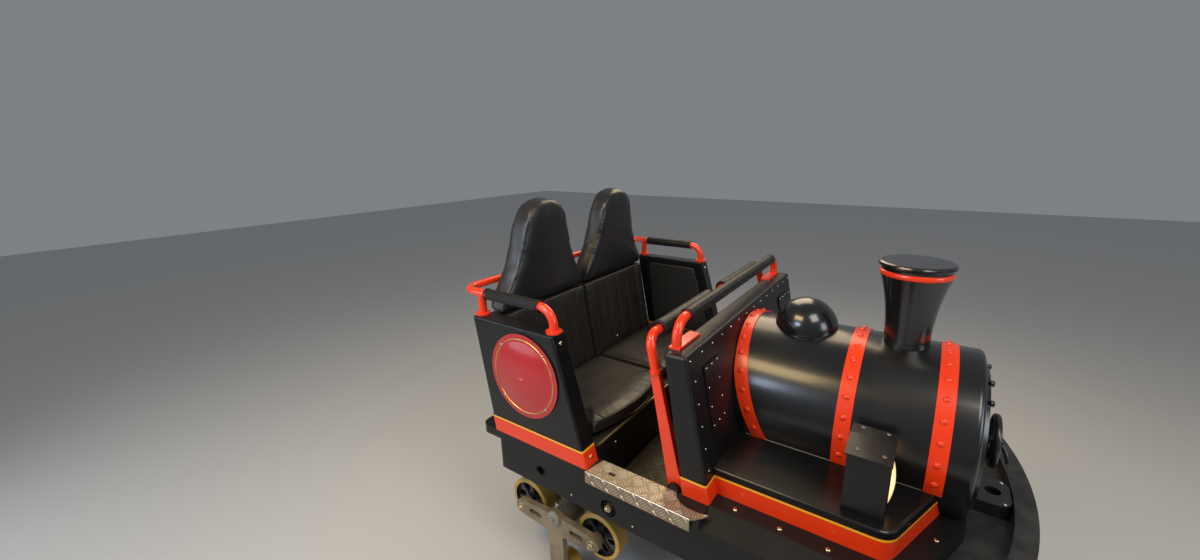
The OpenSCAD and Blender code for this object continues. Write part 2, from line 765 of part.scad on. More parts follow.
module rail_sleeves() place() color(black) both_sides() {
    sleeve_l = rail_front_x - rail_bend_r - rail_rear_x - rail_d;
    translate([rail_rear_x + rail_d, -rail_y, rail_z]) rotate([0, 90, 0]) difference() {
        cylinder(d = sleeve_d, h = sleeve_l);
        translate([0, 0, -1]) cylinder(d = rail_d + 2 * seat_gap, h = sleeve_l + 2);
    }
}

// Seat pan: a raised box over the tub with a front lip bent down into the footwell
module seat_pan() place() color(black) {
    half_w = panel_in_y - seat_gap;
    rear_x = bulkhead_x(0) + bulkhead_t + seat_gap;
    translate([rear_x, -half_w, seat_gap]) cube([well_x - rear_x, 2 * half_w, pan_z - seat_gap]);
    translate([well_x, -well_w / 2 + seat_gap, pan_z - pan_lip_h])
        cube([pan_t, well_w - 2 * seat_gap, pan_lip_h]);
}

// Station of the bulkhead's rear face at a height
function bulkhead_x(z) = back_foot_x - back_t - bulkhead_t - seat_gap
    + (back_top_x - back_foot_x) * (z - cushion_z) / (seam_z - cushion_z);

// Bulkhead that carries both seats from behind, between the side panels
module seat_bulkhead() place() color(black)
    side_extrude(-panel_in_y + seat_gap, panel_in_y - seat_gap) polygon([
        [bulkhead_x(seat_gap), seat_gap], [bulkhead_x(seat_gap) + bulkhead_t, seat_gap],
        [bulkhead_x(seam_z - 30) + bulkhead_t, seam_z - 30], [bulkhead_x(seam_z - 30), seam_z - 30]]);

// The cushion seen from above, set in by a margin: its front edge is an arc through the two
// setback sides and the middle
module cushion_plan(inset) {
    half_w = back_w / 2 - seat_mid_gap;
    rear_x = back_foot_x + 14;
    arc_r = (half_w * half_w + cushion_scallop * cushion_scallop) / (2 * cushion_scallop);
    offset(delta = -inset) intersection() {
        translate([rear_x, -half_w]) square([cushion_x - rear_x, 2 * half_w]);
        translate([cushion_x - arc_r, 0]) circle(arc_r, $fn = 180);
    }
}

module seat_cushions() place() color([0.07, 0.07, 0.07]) {
    z0 = pan_z + seat_gap;
    for (s = [-1, 1]) translate([0, s * seat_pitch / 2, 0]) hull() for (a = [0, 30, 60, 90])
        translate([0, 0, z0]) linear_extrude(cushion_z - z0 - cushion_r * (1 - sin(a)))
            cushion_plan(cushion_r * (1 - cos(a)));
}

module seat_backs() place() color([0.07, 0.07, 0.07]) {
    z0 = pan_z + seat_gap;
    low_x = back_foot_x + (back_top_x - back_foot_x) * (z0 - cushion_z) / (seam_z - cushion_z);
    for (s = [-1, 1]) side_extrude(s * seat_pitch / 2 - back_w / 2, s * seat_pitch / 2 + back_w / 2)
        polygon([[low_x - back_t, z0], [low_x, z0], [back_top_x, seam_z],
            [back_top_x - back_t, seam_z]]);
}

// Half width of the head shell at a height above the seam, as a bell
bell = [
    // share of the height, share of the half width
    [0.00, 1.00], [0.10, 0.97], [0.20, 0.88], [0.30, 0.78], [0.42, 0.68], [0.56, 0.60],
    [0.70, 0.54], [0.80, 0.49], [0.88, 0.42], [0.94, 0.33], [0.98, 0.20], [1.00, 0.08]
];

module bell_outline() {
    h = head_z - seam_z - seat_gap;
    half_w = back_w / 2;
    polygon(concat([for (p = bell) [p[1] * half_w, p[0] * h]],
        [for (i = [len(bell) - 1:-1:0]) [-bell[i][1] * half_w, bell[i][0] * h]]));
}

module seat_heads() place() color([0.07, 0.07, 0.07]) {
    z0 = seam_z + seat_gap;
    for (s = [-1, 1]) intersection() {
        translate([back_top_x - head_t - head_lean, s * seat_pitch / 2, z0])
            cross_extrude(0, head_t + 2 * head_lean) bell_outline();
        side_extrude(-far / 2, far / 2) rounded(head_r) polygon([
            [back_top_x - head_t, z0], [back_top_x, z0],
            [back_top_x + head_lean, head_z], [back_top_x + head_lean - head_t, head_z]]);
    }
}

module cab_wall() place() color(black)
    leaning_block(wall_ends(band_h, 0), wall_ends(wall_h, 0), -wall_w / 2, wall_w / 2,
        band_h, wall_h, wall_r, true);

module hatch_plates() place() color(black) both_sides() {
    lean = atan((wall_front_x - wall_front(wall_h)) / wall_h);
    translate([wall_front(hatch_z), -hatch_y, hatch_z]) rotate([0, -lean, 0])
        translate([seat_gap, -hatch_w / 2, -hatch_h / 2]) cube([hatch_t, hatch_w, hatch_h]);
}

module grab_bar() place() color(red) {
    z_foot = wall_h + seat_gap;
    foot_t = 8;
    bend_r = rail_bend_r;
    both_sides() {
        translate([grab_x, -grab_y, z_foot]) cylinder(d = rail_d, h = grab_z - bend_r - z_foot);
        translate([grab_x, -grab_y + bend_r, grab_z - bend_r]) rotate([90, 0, 90])
            rotate([0, 0, 90]) rotate_extrude(angle = 90) translate([bend_r, 0]) circle(d = rail_d);
        translate([grab_x - grab_foot_w / 2, -grab_y - rail_d / 2, z_foot])
            cube([grab_foot_w, grab_foot_l, foot_t]);
    }
    translate([grab_x, 0, grab_z]) bar_y(rail_d, -grab_y + bend_r, grab_y - bend_r);
}

module grab_sleeve() place() color(black) difference() {
    half_l = grab_y - rail_bend_r - 6;
    translate([grab_x, 0, grab_z]) bar_y(sleeve_d, -half_l, half_l);
    translate([grab_x, 0, grab_z]) bar_y(rail_d + 2 * seat_gap, -half_l - 1, half_l + 1);
}

module boiler() place() color(black) difference() {
    translate([0, 0, boiler_z]) rotate([0, 90, 0]) rotate_extrude($fn = 128) {
        polygon([[0, wall_top_x], [boiler_r, wall_top_x], [boiler_r, boiler_x - boiler_edge_r],
            [boiler_r - boiler_edge_r, boiler_x], [0, boiler_x]]);
        translate([boiler_r - boiler_edge_r, boiler_x - boiler_edge_r]) circle(boiler_edge_r);
    }
    behind_wall();
    // flat underside on the tub
    translate([0, -far / 2, seat_gap - far]) cube([far, far, far]);
}

// Side view of the rear band: a leaning, slightly bowed strip in front of the cab wall
module rear_strip() {
    steps = 16;
    rise = boiler_z + boiler_r - deck_z;
    half = hoop_w / 2 / cos(atan((hoop_foot_x - hoop_top_x) / rise));
    z = [for (i = [-1:steps + 1]) deck_z + rise * i / steps];
    polygon(concat([for (v = z) [hoop_rear(v) - half, v]],
        [for (i = [len(z) - 1:-1:0]) [hoop_rear(z[i]) + half, z[i]]]));
}

// Red bands: a leaning one along the cab wall and two square to the boiler
module boiler_hoops() place() color(red) intersection() {
    difference() {
        union() {
            intersection() {
                translate([0, 0, boiler_z]) rotate([0, 90, 0])
                    cylinder(r = boiler_r + hoop_t, h = far, $fn = 128);
                side_extrude(-far / 2, far / 2) rear_strip();
            }
            for (x = [hoop_mid_x, hoop_front_x]) translate([x - hoop_w / 2, 0, boiler_z])
                rotate([0, 90, 0]) cylinder(r = boiler_r + hoop_t, h = hoop_w, $fn = 128);
        }
        boiler_space();
        behind_wall();
    }
    translate([0, -far / 2, deck_z + seat_gap]) cube([far, far, far]);
}

module smokebox_door() place() color(black) intersection() {
    translate([boiler_x + seat_gap, 0, boiler_z]) rotate([0, 90, 0])
        cylinder(r1 = door_r, r2 = door_r - 10, h = door_t, $fn = 96);
    translate([0, -far / 2, seat_gap]) cube([far, far, far]);
}

module handwheel() place() color(black)
    translate([boiler_x + seat_gap + door_t, 0, boiler_z]) rotate([0, 90, 0]) {
        wheel_r = (handwheel_d - handwheel_rim_d) / 2;
        cylinder(d = 24, h = handwheel_gap + 8);
        translate([0, 0, handwheel_gap - door_t]) rotate_extrude() translate([wheel_r, 0])
            circle(d = handwheel_rim_d, $fn = 32);
        for (a = [0, 120, 240]) rotate([0, 0, a]) translate([0, 0, handwheel_gap - door_t])
            rotate([0, 90, 0]) cylinder(d = 14, h = wheel_r, $fn = 24);
    }

module dome() place() color(black) difference() {
    union() {
        translate([dome_x, 0, dome_z]) sphere(dome_r, $fn = 96);
        translate([dome_x, 0, dome_z - dome_lip_drop])
            cylinder(r = dome_lip_r, h = dome_lip_drop - dome_lip_top, $fn = 96);
    }
    boiler_space();
}

module chimney() place() color(black) difference() {
    z0 = boiler_z + boiler_r - 30;
    steps = 14;
    flare = chimney_top_r - chimney_foot_r;
    union() translate([chimney_x, 0, 0]) {
        translate([0, 0, z0])
            cylinder(r = chimney_foot_r + collar_out, h = collar_h + boiler_z + boiler_r - z0);
        // neck that flares more and more towards its red ring
        rotate_extrude() polygon(concat([[0, z0]],
            [for (i = [0:steps]) [chimney_foot_r + flare * pow(i / steps, 2.4),
                z0 + (chimney_z - z0) * i / steps]],
            [[0, chimney_z]]));
    }
    boiler_space();
}

module chimney_ring() place() color(red) translate([chimney_x, 0, chimney_z]) rotate_extrude()
    polygon([[0, 0], [ring_r - 4, 0], [ring_r - 1, 3], [ring_r, 7], [ring_r, ring_h - 7],
        [ring_r - 1, ring_h - 3], [ring_r - 4, ring_h], [0, ring_h]]);

// Lid: a short black neck on the ring, then a wide cap with a rounded rim
module chimney_lid() place() color(black) translate([chimney_x, 0, chimney_z + ring_h])
    rotate_extrude() polygon([[0, seat_gap], [lid_r - 9, seat_gap], [lid_r - 8, lid_h * 0.3],
        [lid_r - 2, lid_h * 0.42], [lid_r, lid_h * 0.55], [lid_r, lid_h - 7], [lid_r - 2, lid_h - 3],
        [lid_r - 7, lid_h], [0, lid_h]]);

// Both running boards between two heights, cut away for the boiler and the cab wall
module deck_slab(z0, z1, grow) difference() {
    translate([0, 0, z0]) linear_extrude(z1 - z0) deck_outline(grow);
    behind_wall();
    boiler_space();
}

module running_boards() place() color(black) {
    upper_z = deck_z - deck_upper_t;
    deck_slab(band_h, upper_z - deck_groove_h, 0);
    deck_slab(upper_z - deck_groove_h, upper_z, -deck_groove_t);
    // upper layer with its rounded top edge
    difference() {
        hull() for (a = [0, 30, 60, 90]) translate([0, 0, upper_z])
            linear_extrude(deck_upper_t - deck_edge_r * (1 - sin(a)))
                deck_outline(-deck_edge_r * (1 - cos(a)));
        behind_wall();
        boiler_space();
    }
}

module headlamps() place() color(black) both_sides() {
    y_in = lamp_y - lamp_w;
    z0 = deck_z + seat_gap;
    // box whose top slopes down on its outer half
    cross_extrude(lamp_x, lamp_x + lamp_l) polygon([[-lamp_y, z0], [-y_in, z0], [-y_in, lamp_z],
        [-y_in - lamp_w * lamp_flat, lamp_z], [-lamp_y, lamp_z - lamp_slope]]);
    // bent lid that stands out on all sides
    lid = [[-y_in + lamp_lid_out, 0], [-y_in - lamp_w * lamp_flat, 0],
        [-lamp_y - lamp_lid_out, -lamp_slope]];
    cross_extrude(lamp_x - lamp_lid_out, lamp_x + lamp_l + lamp_lid_out)
        translate([0, lamp_z + lamp_lid_out]) polygon(concat(lid,
            [for (i = [2:-1:0]) lid[i] - [0, lamp_lid_t]]));
}

module lamp_lenses() place() color([1, 0.9, 0.6]) both_sides()
    translate([lamp_x + lamp_l + seat_gap, -lamp_y + lamp_w / 2, deck_z + lens_up + lens_d / 2])
        rotate([0, 90, 0]) {
            sphere_r = (pow(lens_d / 2, 2) + pow(lens_rise, 2)) / (2 * lens_rise);
            intersection() {
                translate([0, 0, lens_rise - sphere_r]) sphere(sphere_r, $fn = 120);
                cylinder(d = lens_d, h = lens_rise + 1);
            }
        }

module steps() place() color(silver) both_sides() {
    y_out = panel_y + step_out;
    y_in = wall_w / 2 + band_proud + 2.5;
    translate([step_x, 0, seat_gap]) linear_extrude(step_t) difference() {
        // tread with a slanted rear end and a tip like a shark's fin
        polygon(concat([[step_edge_l, -y_out], [0, -y_out], [step_slant, -y_in], [step_in_l, -y_in]],
            [for (p = step_tip) [step_in_l + p[0], -y_in - p[1]]]));
        // slotted hole
        translate([step_slant + slot_in, -y_out + slot_out]) square([slot_l, slot_w]);
    }
    translate([step_x, -y_out, seat_gap - step_edge_h])
        cube([step_edge_l, step_t, step_edge_h + step_t]);
}

module pedals() place() color(cast) both_sides()
    translate([pedal_x, -tub_w / 2 - 4, -pedal_z]) bar_y(26, 0, 29 - seat_gap);

module underframe() place() color(cast) {
    top = -tub_h - seat_gap;
    for (x = [rear_axle_x, front_axle_x]) {
        translate([x - beam_w / 2, -beam_l / 2, -axle_drop - beam_h / 2])
            cube([beam_w, beam_l, beam_h]);
        for (s = [-1, 1])
            translate([x - beam_w / 2, (s * bracket_pitch - bracket_w) / 2, -axle_drop])
                cube([beam_w, bracket_w, top + axle_drop]);
    }
    spine_z = -axle_drop + beam_h / 2 - spine_sink;
    translate([rear_axle_x, -spine_w / 2, spine_z])
        cube([front_axle_x - rear_axle_x, spine_w, top - spine_z]);
}

// Four carriers, each with two road wheels, an up-stop wheel outside its rail and a guide wheel inside
module wheel_carriers() place() color(cast) for (x = [rear_axle_x, front_axle_x]) both_sides()
    translate([x, -track_y, -axle_drop]) {
        y_arm = track_tube_d / 2 + rail_clear;
        y_out = -y_arm - arm_t;
        half = road_pitch / 2;
        slot_r = arm_slot_w / 2;
        slot_mid = (half - wheel_collar_d / 2 + arm_boss_r) / 2;
        for (y0 = [y_out, y_arm]) side_extrude(y0, y0 + arm_t) {
            difference() {
                for (s = [-1, 1]) link(arm_waist_r, arm_end_r, [s * half, 0]);
                for (s = [-1, 1]) translate([s * (slot_mid - arm_slot_l / 2 + slot_r), 0])
                    link(slot_r, slot_r, [s * (arm_slot_l - arm_slot_w), 0]);
            }
            circle(arm_boss_r);
        }
        for (s = [-1, 1]) translate([s * half, 0, 0]) {
            bar_y(wheel_pin_d, y_out, y_arm + arm_t);
            bar_y(wheel_collar_d, y_out, -road_w / 2 - pin_side_gap);
            bar_y(wheel_collar_d, road_w / 2 + pin_side_gap, y_arm + arm_t);
        }
        bar_y(2 * arm_boss_r - 20, y_out, track_y - beam_l / 2 - seat_gap);
        // hanger of the up-stop wheel, outside the rail
        translate([-hanger_w / 2, y_out, upstop_z + axle_drop - hanger_w / 2])
            cube([hanger_w, arm_t, -upstop_z - axle_drop + hanger_w / 2]);
        translate([0, 0, upstop_z + axle_drop]) {
            bar_y(wheel_pin_d, y_out, upstop_w / 2 + 4);
            bar_y(wheel_collar_d, y_out, -upstop_w / 2 - pin_side_gap);
        }
        // bracket of the guide wheel, inside the rail
        shelf_z = guide_z + axle_drop + guide_w / 2 + side_gap;
        translate([-hanger_w / 2, y_arm, shelf_z]) cube([hanger_w, arm_t, -shelf_z]);
        translate([-hanger_w / 2, y_arm, shelf_z])
            cube([hanger_w, track_y - guide_y - y_arm + hanger_w / 2, 14]);
        translate([0, track_y - guide_y, guide_z + axle_drop - guide_w / 2 - 4])
            cylinder(d = wheel_pin_d, h = shelf_z - guide_z - axle_drop + guide_w / 2 + 5);
    }

// One wheel about the Y axis: a hub disc with a tyre, bored for its pin
module wheel(d, w) rotate([90, 0, 0]) rotate_extrude() {
    bore = wheel_pin_d / 2 + pin_gap;
    hub = bore + hub_wall_t;
    rim = d / 2 - tread_t - rim_wall_t;
    polygon([[bore, -w / 2], [hub, -w / 2], [hub, -w / 4], [rim, -w / 4],
        [rim, -w / 2], [d / 2 - 4, -w / 2], [d / 2, -w / 2 + 4], [d / 2, w / 2 - 4],
        [d / 2 - 4, w / 2], [rim, w / 2], [rim, w / 4], [hub, w / 4], [hub, w / 2], [bore, w / 2]]);
}

module road_wheel(x, side, end) place() color(yellow)
    translate([x + end * road_pitch / 2, side * track_y, -axle_drop]) difference() {
        wheel(road_d, road_w);
        // windows between the spokes
        mid_r = (wheel_pin_d / 2 + hub_wall_t + road_d / 2 - tread_t - rim_wall_t) / 2;
        for (a = [0:60:300]) rotate([0, a, 0]) translate([mid_r, 0, 0])
            bar_y(window_d, -road_w / 2, road_w / 2);
    }

module upstop(x, side) place() color(yellow)
    translate([x, side * track_y, upstop_z]) wheel(upstop_d, upstop_w);

module guide(x, side) place() color(yellow)
    translate([x, side * guide_y, guide_z]) rotate([90, 0, 0]) wheel(guide_d, guide_w);

module lap_bar(side) place() color(red) mirror([0, side > 0 ? 0 : 1, 0]) {
    // flat arm from the hinge to the joint ring
    y0 = lap_arm_y - lap_arm_t / 2;
    y1 = lap_arm_y + lap_arm_t / 2;
    difference() {
        side_extrude(y0, y1) translate([lap_hinge_x, -lap_hinge_z])
            link(lap_foot_w / 2, lap_neck_w / 2, [lap_ring_x - lap_hinge_x, lap_ring_z + lap_hinge_z]);
        translate([lap_hinge_x, 0, -lap_hinge_z]) bar_y(lap_pin_d + 2 * pin_gap, y0 - 1, y1 + 1);
    }
    // tube up from the ring, bent over to the padded part
    lean = atan((lap_ring_x - lap_pad_x) / (lap_pad_z - lap_ring_z));
    l = norm([lap_ring_x - lap_pad_x, lap_pad_z - lap_ring_z]);
    translate([lap_ring_x, lap_arm_y, lap_ring_z]) rotate([0, -lean, 0]) {
        cylinder(d = rail_d, h = l - lap_bend_r);
        translate([0, 0, -4]) cylinder(d = rail_d + 8, h = 12);
        translate([0, -lap_bend_r, l - lap_bend_r]) rotate([90, 0, 90]) rotate_extrude(angle = 90)
            translate([lap_bend_r, 0]) circle(d = rail_d);
        translate([0, 0, l]) bar_y(rail_d, lap_pad_inner - 14 - lap_arm_y, -lap_bend_r);
    }
}

module lap_pad(side) place() color(black) mirror([0, side > 0 ? 0 : 1, 0])
    translate([lap_pad_x, 0, lap_pad_z]) difference() {
        bar_y(lap_pad_d, lap_pad_inner, lap_pad_outer);
        bar_y(rail_d + 2 * seat_gap, lap_pad_inner - 1, lap_pad_outer + 1);
    }

tub();
floor_plate();
nose_bumper();
front_coupler();
drawbar();
side_panels();
foot_bands();
panel_trims();
roundels();
side_rails();
rail_sleeves();
seat_pan();
seat_bulkhead();
seat_cushions();
seat_backs();
seat_heads();
cab_wall();
hatch_plates();
grab_bar();
grab_sleeve();
boiler();
boiler_hoops();
smokebox_door();
handwheel();
dome();
chimney();
chimney_ring();
chimney_lid();
running_boards();
headlamps();
lamp_lenses();
steps();
pedals();
underframe();
wheel_carriers();
lap_bar(-1);  // lap_bar_right
lap_pad(-1);  // lap_pad_right
lap_bar(1);  // lap_bar_left
lap_pad(1);  // lap_pad_left
road_wheel(rear_axle_x, -1, -1);  // road_wheel_rr1
road_wheel(rear_axle_x, -1, 1);  // road_wheel_rr2
road_wheel(rear_axle_x, 1, -1);  // road_wheel_rl1
road_wheel(rear_axle_x, 1, 1);  // road_wheel_rl2
road_wheel(front_axle_x, -1, -1);  // road_wheel_fr1
road_wheel(front_axle_x, -1, 1);  // road_wheel_fr2
road_wheel(front_axle_x, 1, -1);  // road_wheel_fl1
road_wheel(front_axle_x, 1, 1);  // road_wheel_fl2
upstop(rear_axle_x, -1);  // upstop_rr
upstop(rear_axle_x, 1);  // upstop_rl
upstop(front_axle_x, -1);  // upstop_fr
upstop(front_axle_x, 1);  // upstop_fl
guide(rear_axle_x, -1);  // guide_rr
guide(rear_axle_x, 1);  // guide_rl
guide(front_axle_x, -1);  // guide_fr
guide(front_axle_x, 1);  // guide_fl
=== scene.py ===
import bpy, bmesh, json, math, mathutils
import numpy as np
from mathutils import Vector, Matrix


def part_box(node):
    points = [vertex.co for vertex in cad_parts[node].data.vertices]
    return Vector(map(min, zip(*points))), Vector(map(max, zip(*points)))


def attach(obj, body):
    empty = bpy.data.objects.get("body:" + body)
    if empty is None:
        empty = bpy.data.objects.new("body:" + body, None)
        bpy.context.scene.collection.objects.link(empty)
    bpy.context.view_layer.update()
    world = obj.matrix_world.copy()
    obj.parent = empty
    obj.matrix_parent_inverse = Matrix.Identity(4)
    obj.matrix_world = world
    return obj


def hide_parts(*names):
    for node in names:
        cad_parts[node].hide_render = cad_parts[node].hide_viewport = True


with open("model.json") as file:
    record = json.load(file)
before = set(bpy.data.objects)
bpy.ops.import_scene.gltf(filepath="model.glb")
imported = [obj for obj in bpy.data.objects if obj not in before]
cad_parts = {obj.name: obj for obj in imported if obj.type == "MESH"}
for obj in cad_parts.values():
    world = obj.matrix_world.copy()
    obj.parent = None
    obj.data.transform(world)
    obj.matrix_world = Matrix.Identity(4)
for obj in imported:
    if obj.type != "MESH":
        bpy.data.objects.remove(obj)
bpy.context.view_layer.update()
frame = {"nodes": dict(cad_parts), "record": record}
nodes = frame["nodes"]
slots = {s["node"]: s["material_slot"] for s in frame["record"]["subparts"]}

# Places are stations from the rear, distances to the left and heights over the tub's flange, all in mm.
# MID is the station of the frame's origin, and GROUND the height of the ground. Of SIDES, the first is
# the right one.
MID, GROUND = 870.0, -712.0
SIDES = (-1, 1)
SIDE_WORDS = ((-1, "right"), (1, "left"))
UP, DOWN = (0, 0, 1), (0, 0, -1)
AHEAD, BACK, LEFT = (1, 0, 0), (-1, 0, 0), (0, 1, 0)


def P(station, y, z):
    """A point in metres from a station, a distance to the left and a height over the flange, in mm."""
    return Vector(((station - MID) / 1000, y / 1000, (z - GROUND) / 1000))


# Material fields: the scale of a sleeve's coordinates, smaller along its axis, so that its creases are
# drawn out along it; the detail of each kind of noise; and the part of a noise's range that is used
STRETCHES = {"along_x": (0.12, 1, 1), "along_y": (1, 0.12, 1)}
BUMP_DETAIL, ROUGH_DETAIL, TINT_DETAIL = 4, 6, 8
ROUGH_SPAN, TINT_SPAN = (0.3, 0.7), (0.42, 0.68)


def field(nt, kind, scale, where, detail):
    """The value of a noise or cell texture; along_x and along_y draw a noise out along that axis."""
    if kind in STRETCHES:
        stretch = nt.nodes.new("ShaderNodeMapping")
        stretch.inputs["Scale"].default_value = STRETCHES[kind]
        nt.links.new(where, stretch.inputs["Vector"])
        where = stretch.outputs["Vector"]
    if kind == "voronoi":
        texture = nt.nodes.new("ShaderNodeTexVoronoi")
        texture.feature = "DISTANCE_TO_EDGE"
        value = texture.outputs["Distance"]
    else:
        texture = nt.nodes.new("ShaderNodeTexNoise")
        texture.inputs["Detail"].default_value = detail
        value = texture.outputs["Fac"]
    texture.inputs["Scale"].default_value = scale
    nt.links.new(where, texture.inputs["Vector"])
    return value


def spread(nt, value, low, high, to_low, to_high):
    """A value mapped from low..high to to_low..to_high."""
    mapped = nt.nodes.new("ShaderNodeMapRange")
    mapped.inputs["From Min"].default_value = low
    mapped.inputs["From Max"].default_value = high
    mapped.inputs["To Min"].default_value = to_low
    mapped.inputs["To Max"].default_value = to_high
    nt.links.new(value, mapped.inputs["Value"])
    return mapped.outputs["Result"]


def between(nt, share, first, second):
    """A colour between two, by a share from 0 to 1."""
    mix = nt.nodes.new("ShaderNodeMix")
    mix.data_type = "RGBA"
    factor, color_a, color_b, result = mix.inputs[0], mix.inputs[6], mix.inputs[7], mix.outputs[2]
    color_a.default_value = (*first, 1)
    color_b.default_value = (*second, 1)
    nt.links.new(share, factor)
    return result


def material(name, color, rough, metallic=0.0, coat=0.0, coat_rough=0.03, spec=0.5, bumps=(),
             rough_noise=None, tint=None, emission=None):
    """bumps: (kind, scale, strength, distance) fields added up; rough_noise: (scale, low, high);
    tint: (scale, other colour, amount); emission: (colour, strength)."""
    m = bpy.data.materials.new(name)
    m.use_nodes = True
    nt = m.node_tree
    b = nt.nodes["Principled BSDF"]
    for socket, value in (("Base Color", (*color, 1)), ("Roughness", rough), ("Metallic", metallic),
                          ("Coat Weight", coat), ("Coat Roughness", coat_rough),
                          ("Specular IOR Level", spec)):
        b.inputs[socket].default_value = value
    if emission:
        b.inputs["Emission Color"].default_value = (*emission[0], 1)
        b.inputs["Emission Strength"].default_value = emission[1]
    where = nt.nodes.new("ShaderNodeTexCoord").outputs["Object"]
    last = None
    for kind, scale, strength, distance in bumps:
        bump = nt.nodes.new("ShaderNodeBump")
        bump.inputs["Strength"].default_value = strength
        bump.inputs["Distance"].default_value = distance
        nt.links.new(field(nt, kind, scale, where, BUMP_DETAIL), bump.inputs["Height"])
        if last:
            nt.links.new(last.outputs["Normal"], bump.inputs["Normal"])
        last = bump
    if last:
        nt.links.new(last.outputs["Normal"], b.inputs["Normal"])
    if rough_noise:
        scale, low, high = rough_noise
        noise = field(nt, "noise", scale, where, ROUGH_DETAIL)
        nt.links.new(spread(nt, noise, *ROUGH_SPAN, low, high), b.inputs["Roughness"])
    if tint:
        scale, other, amount = tint
        noise = field(nt, "noise", scale, where, TINT_DETAIL)
        share = spread(nt, noise, *TINT_SPAN, 0, amount)
        nt.links.new(between(nt, share, color, other), b.inputs["Base Color"])
    return m


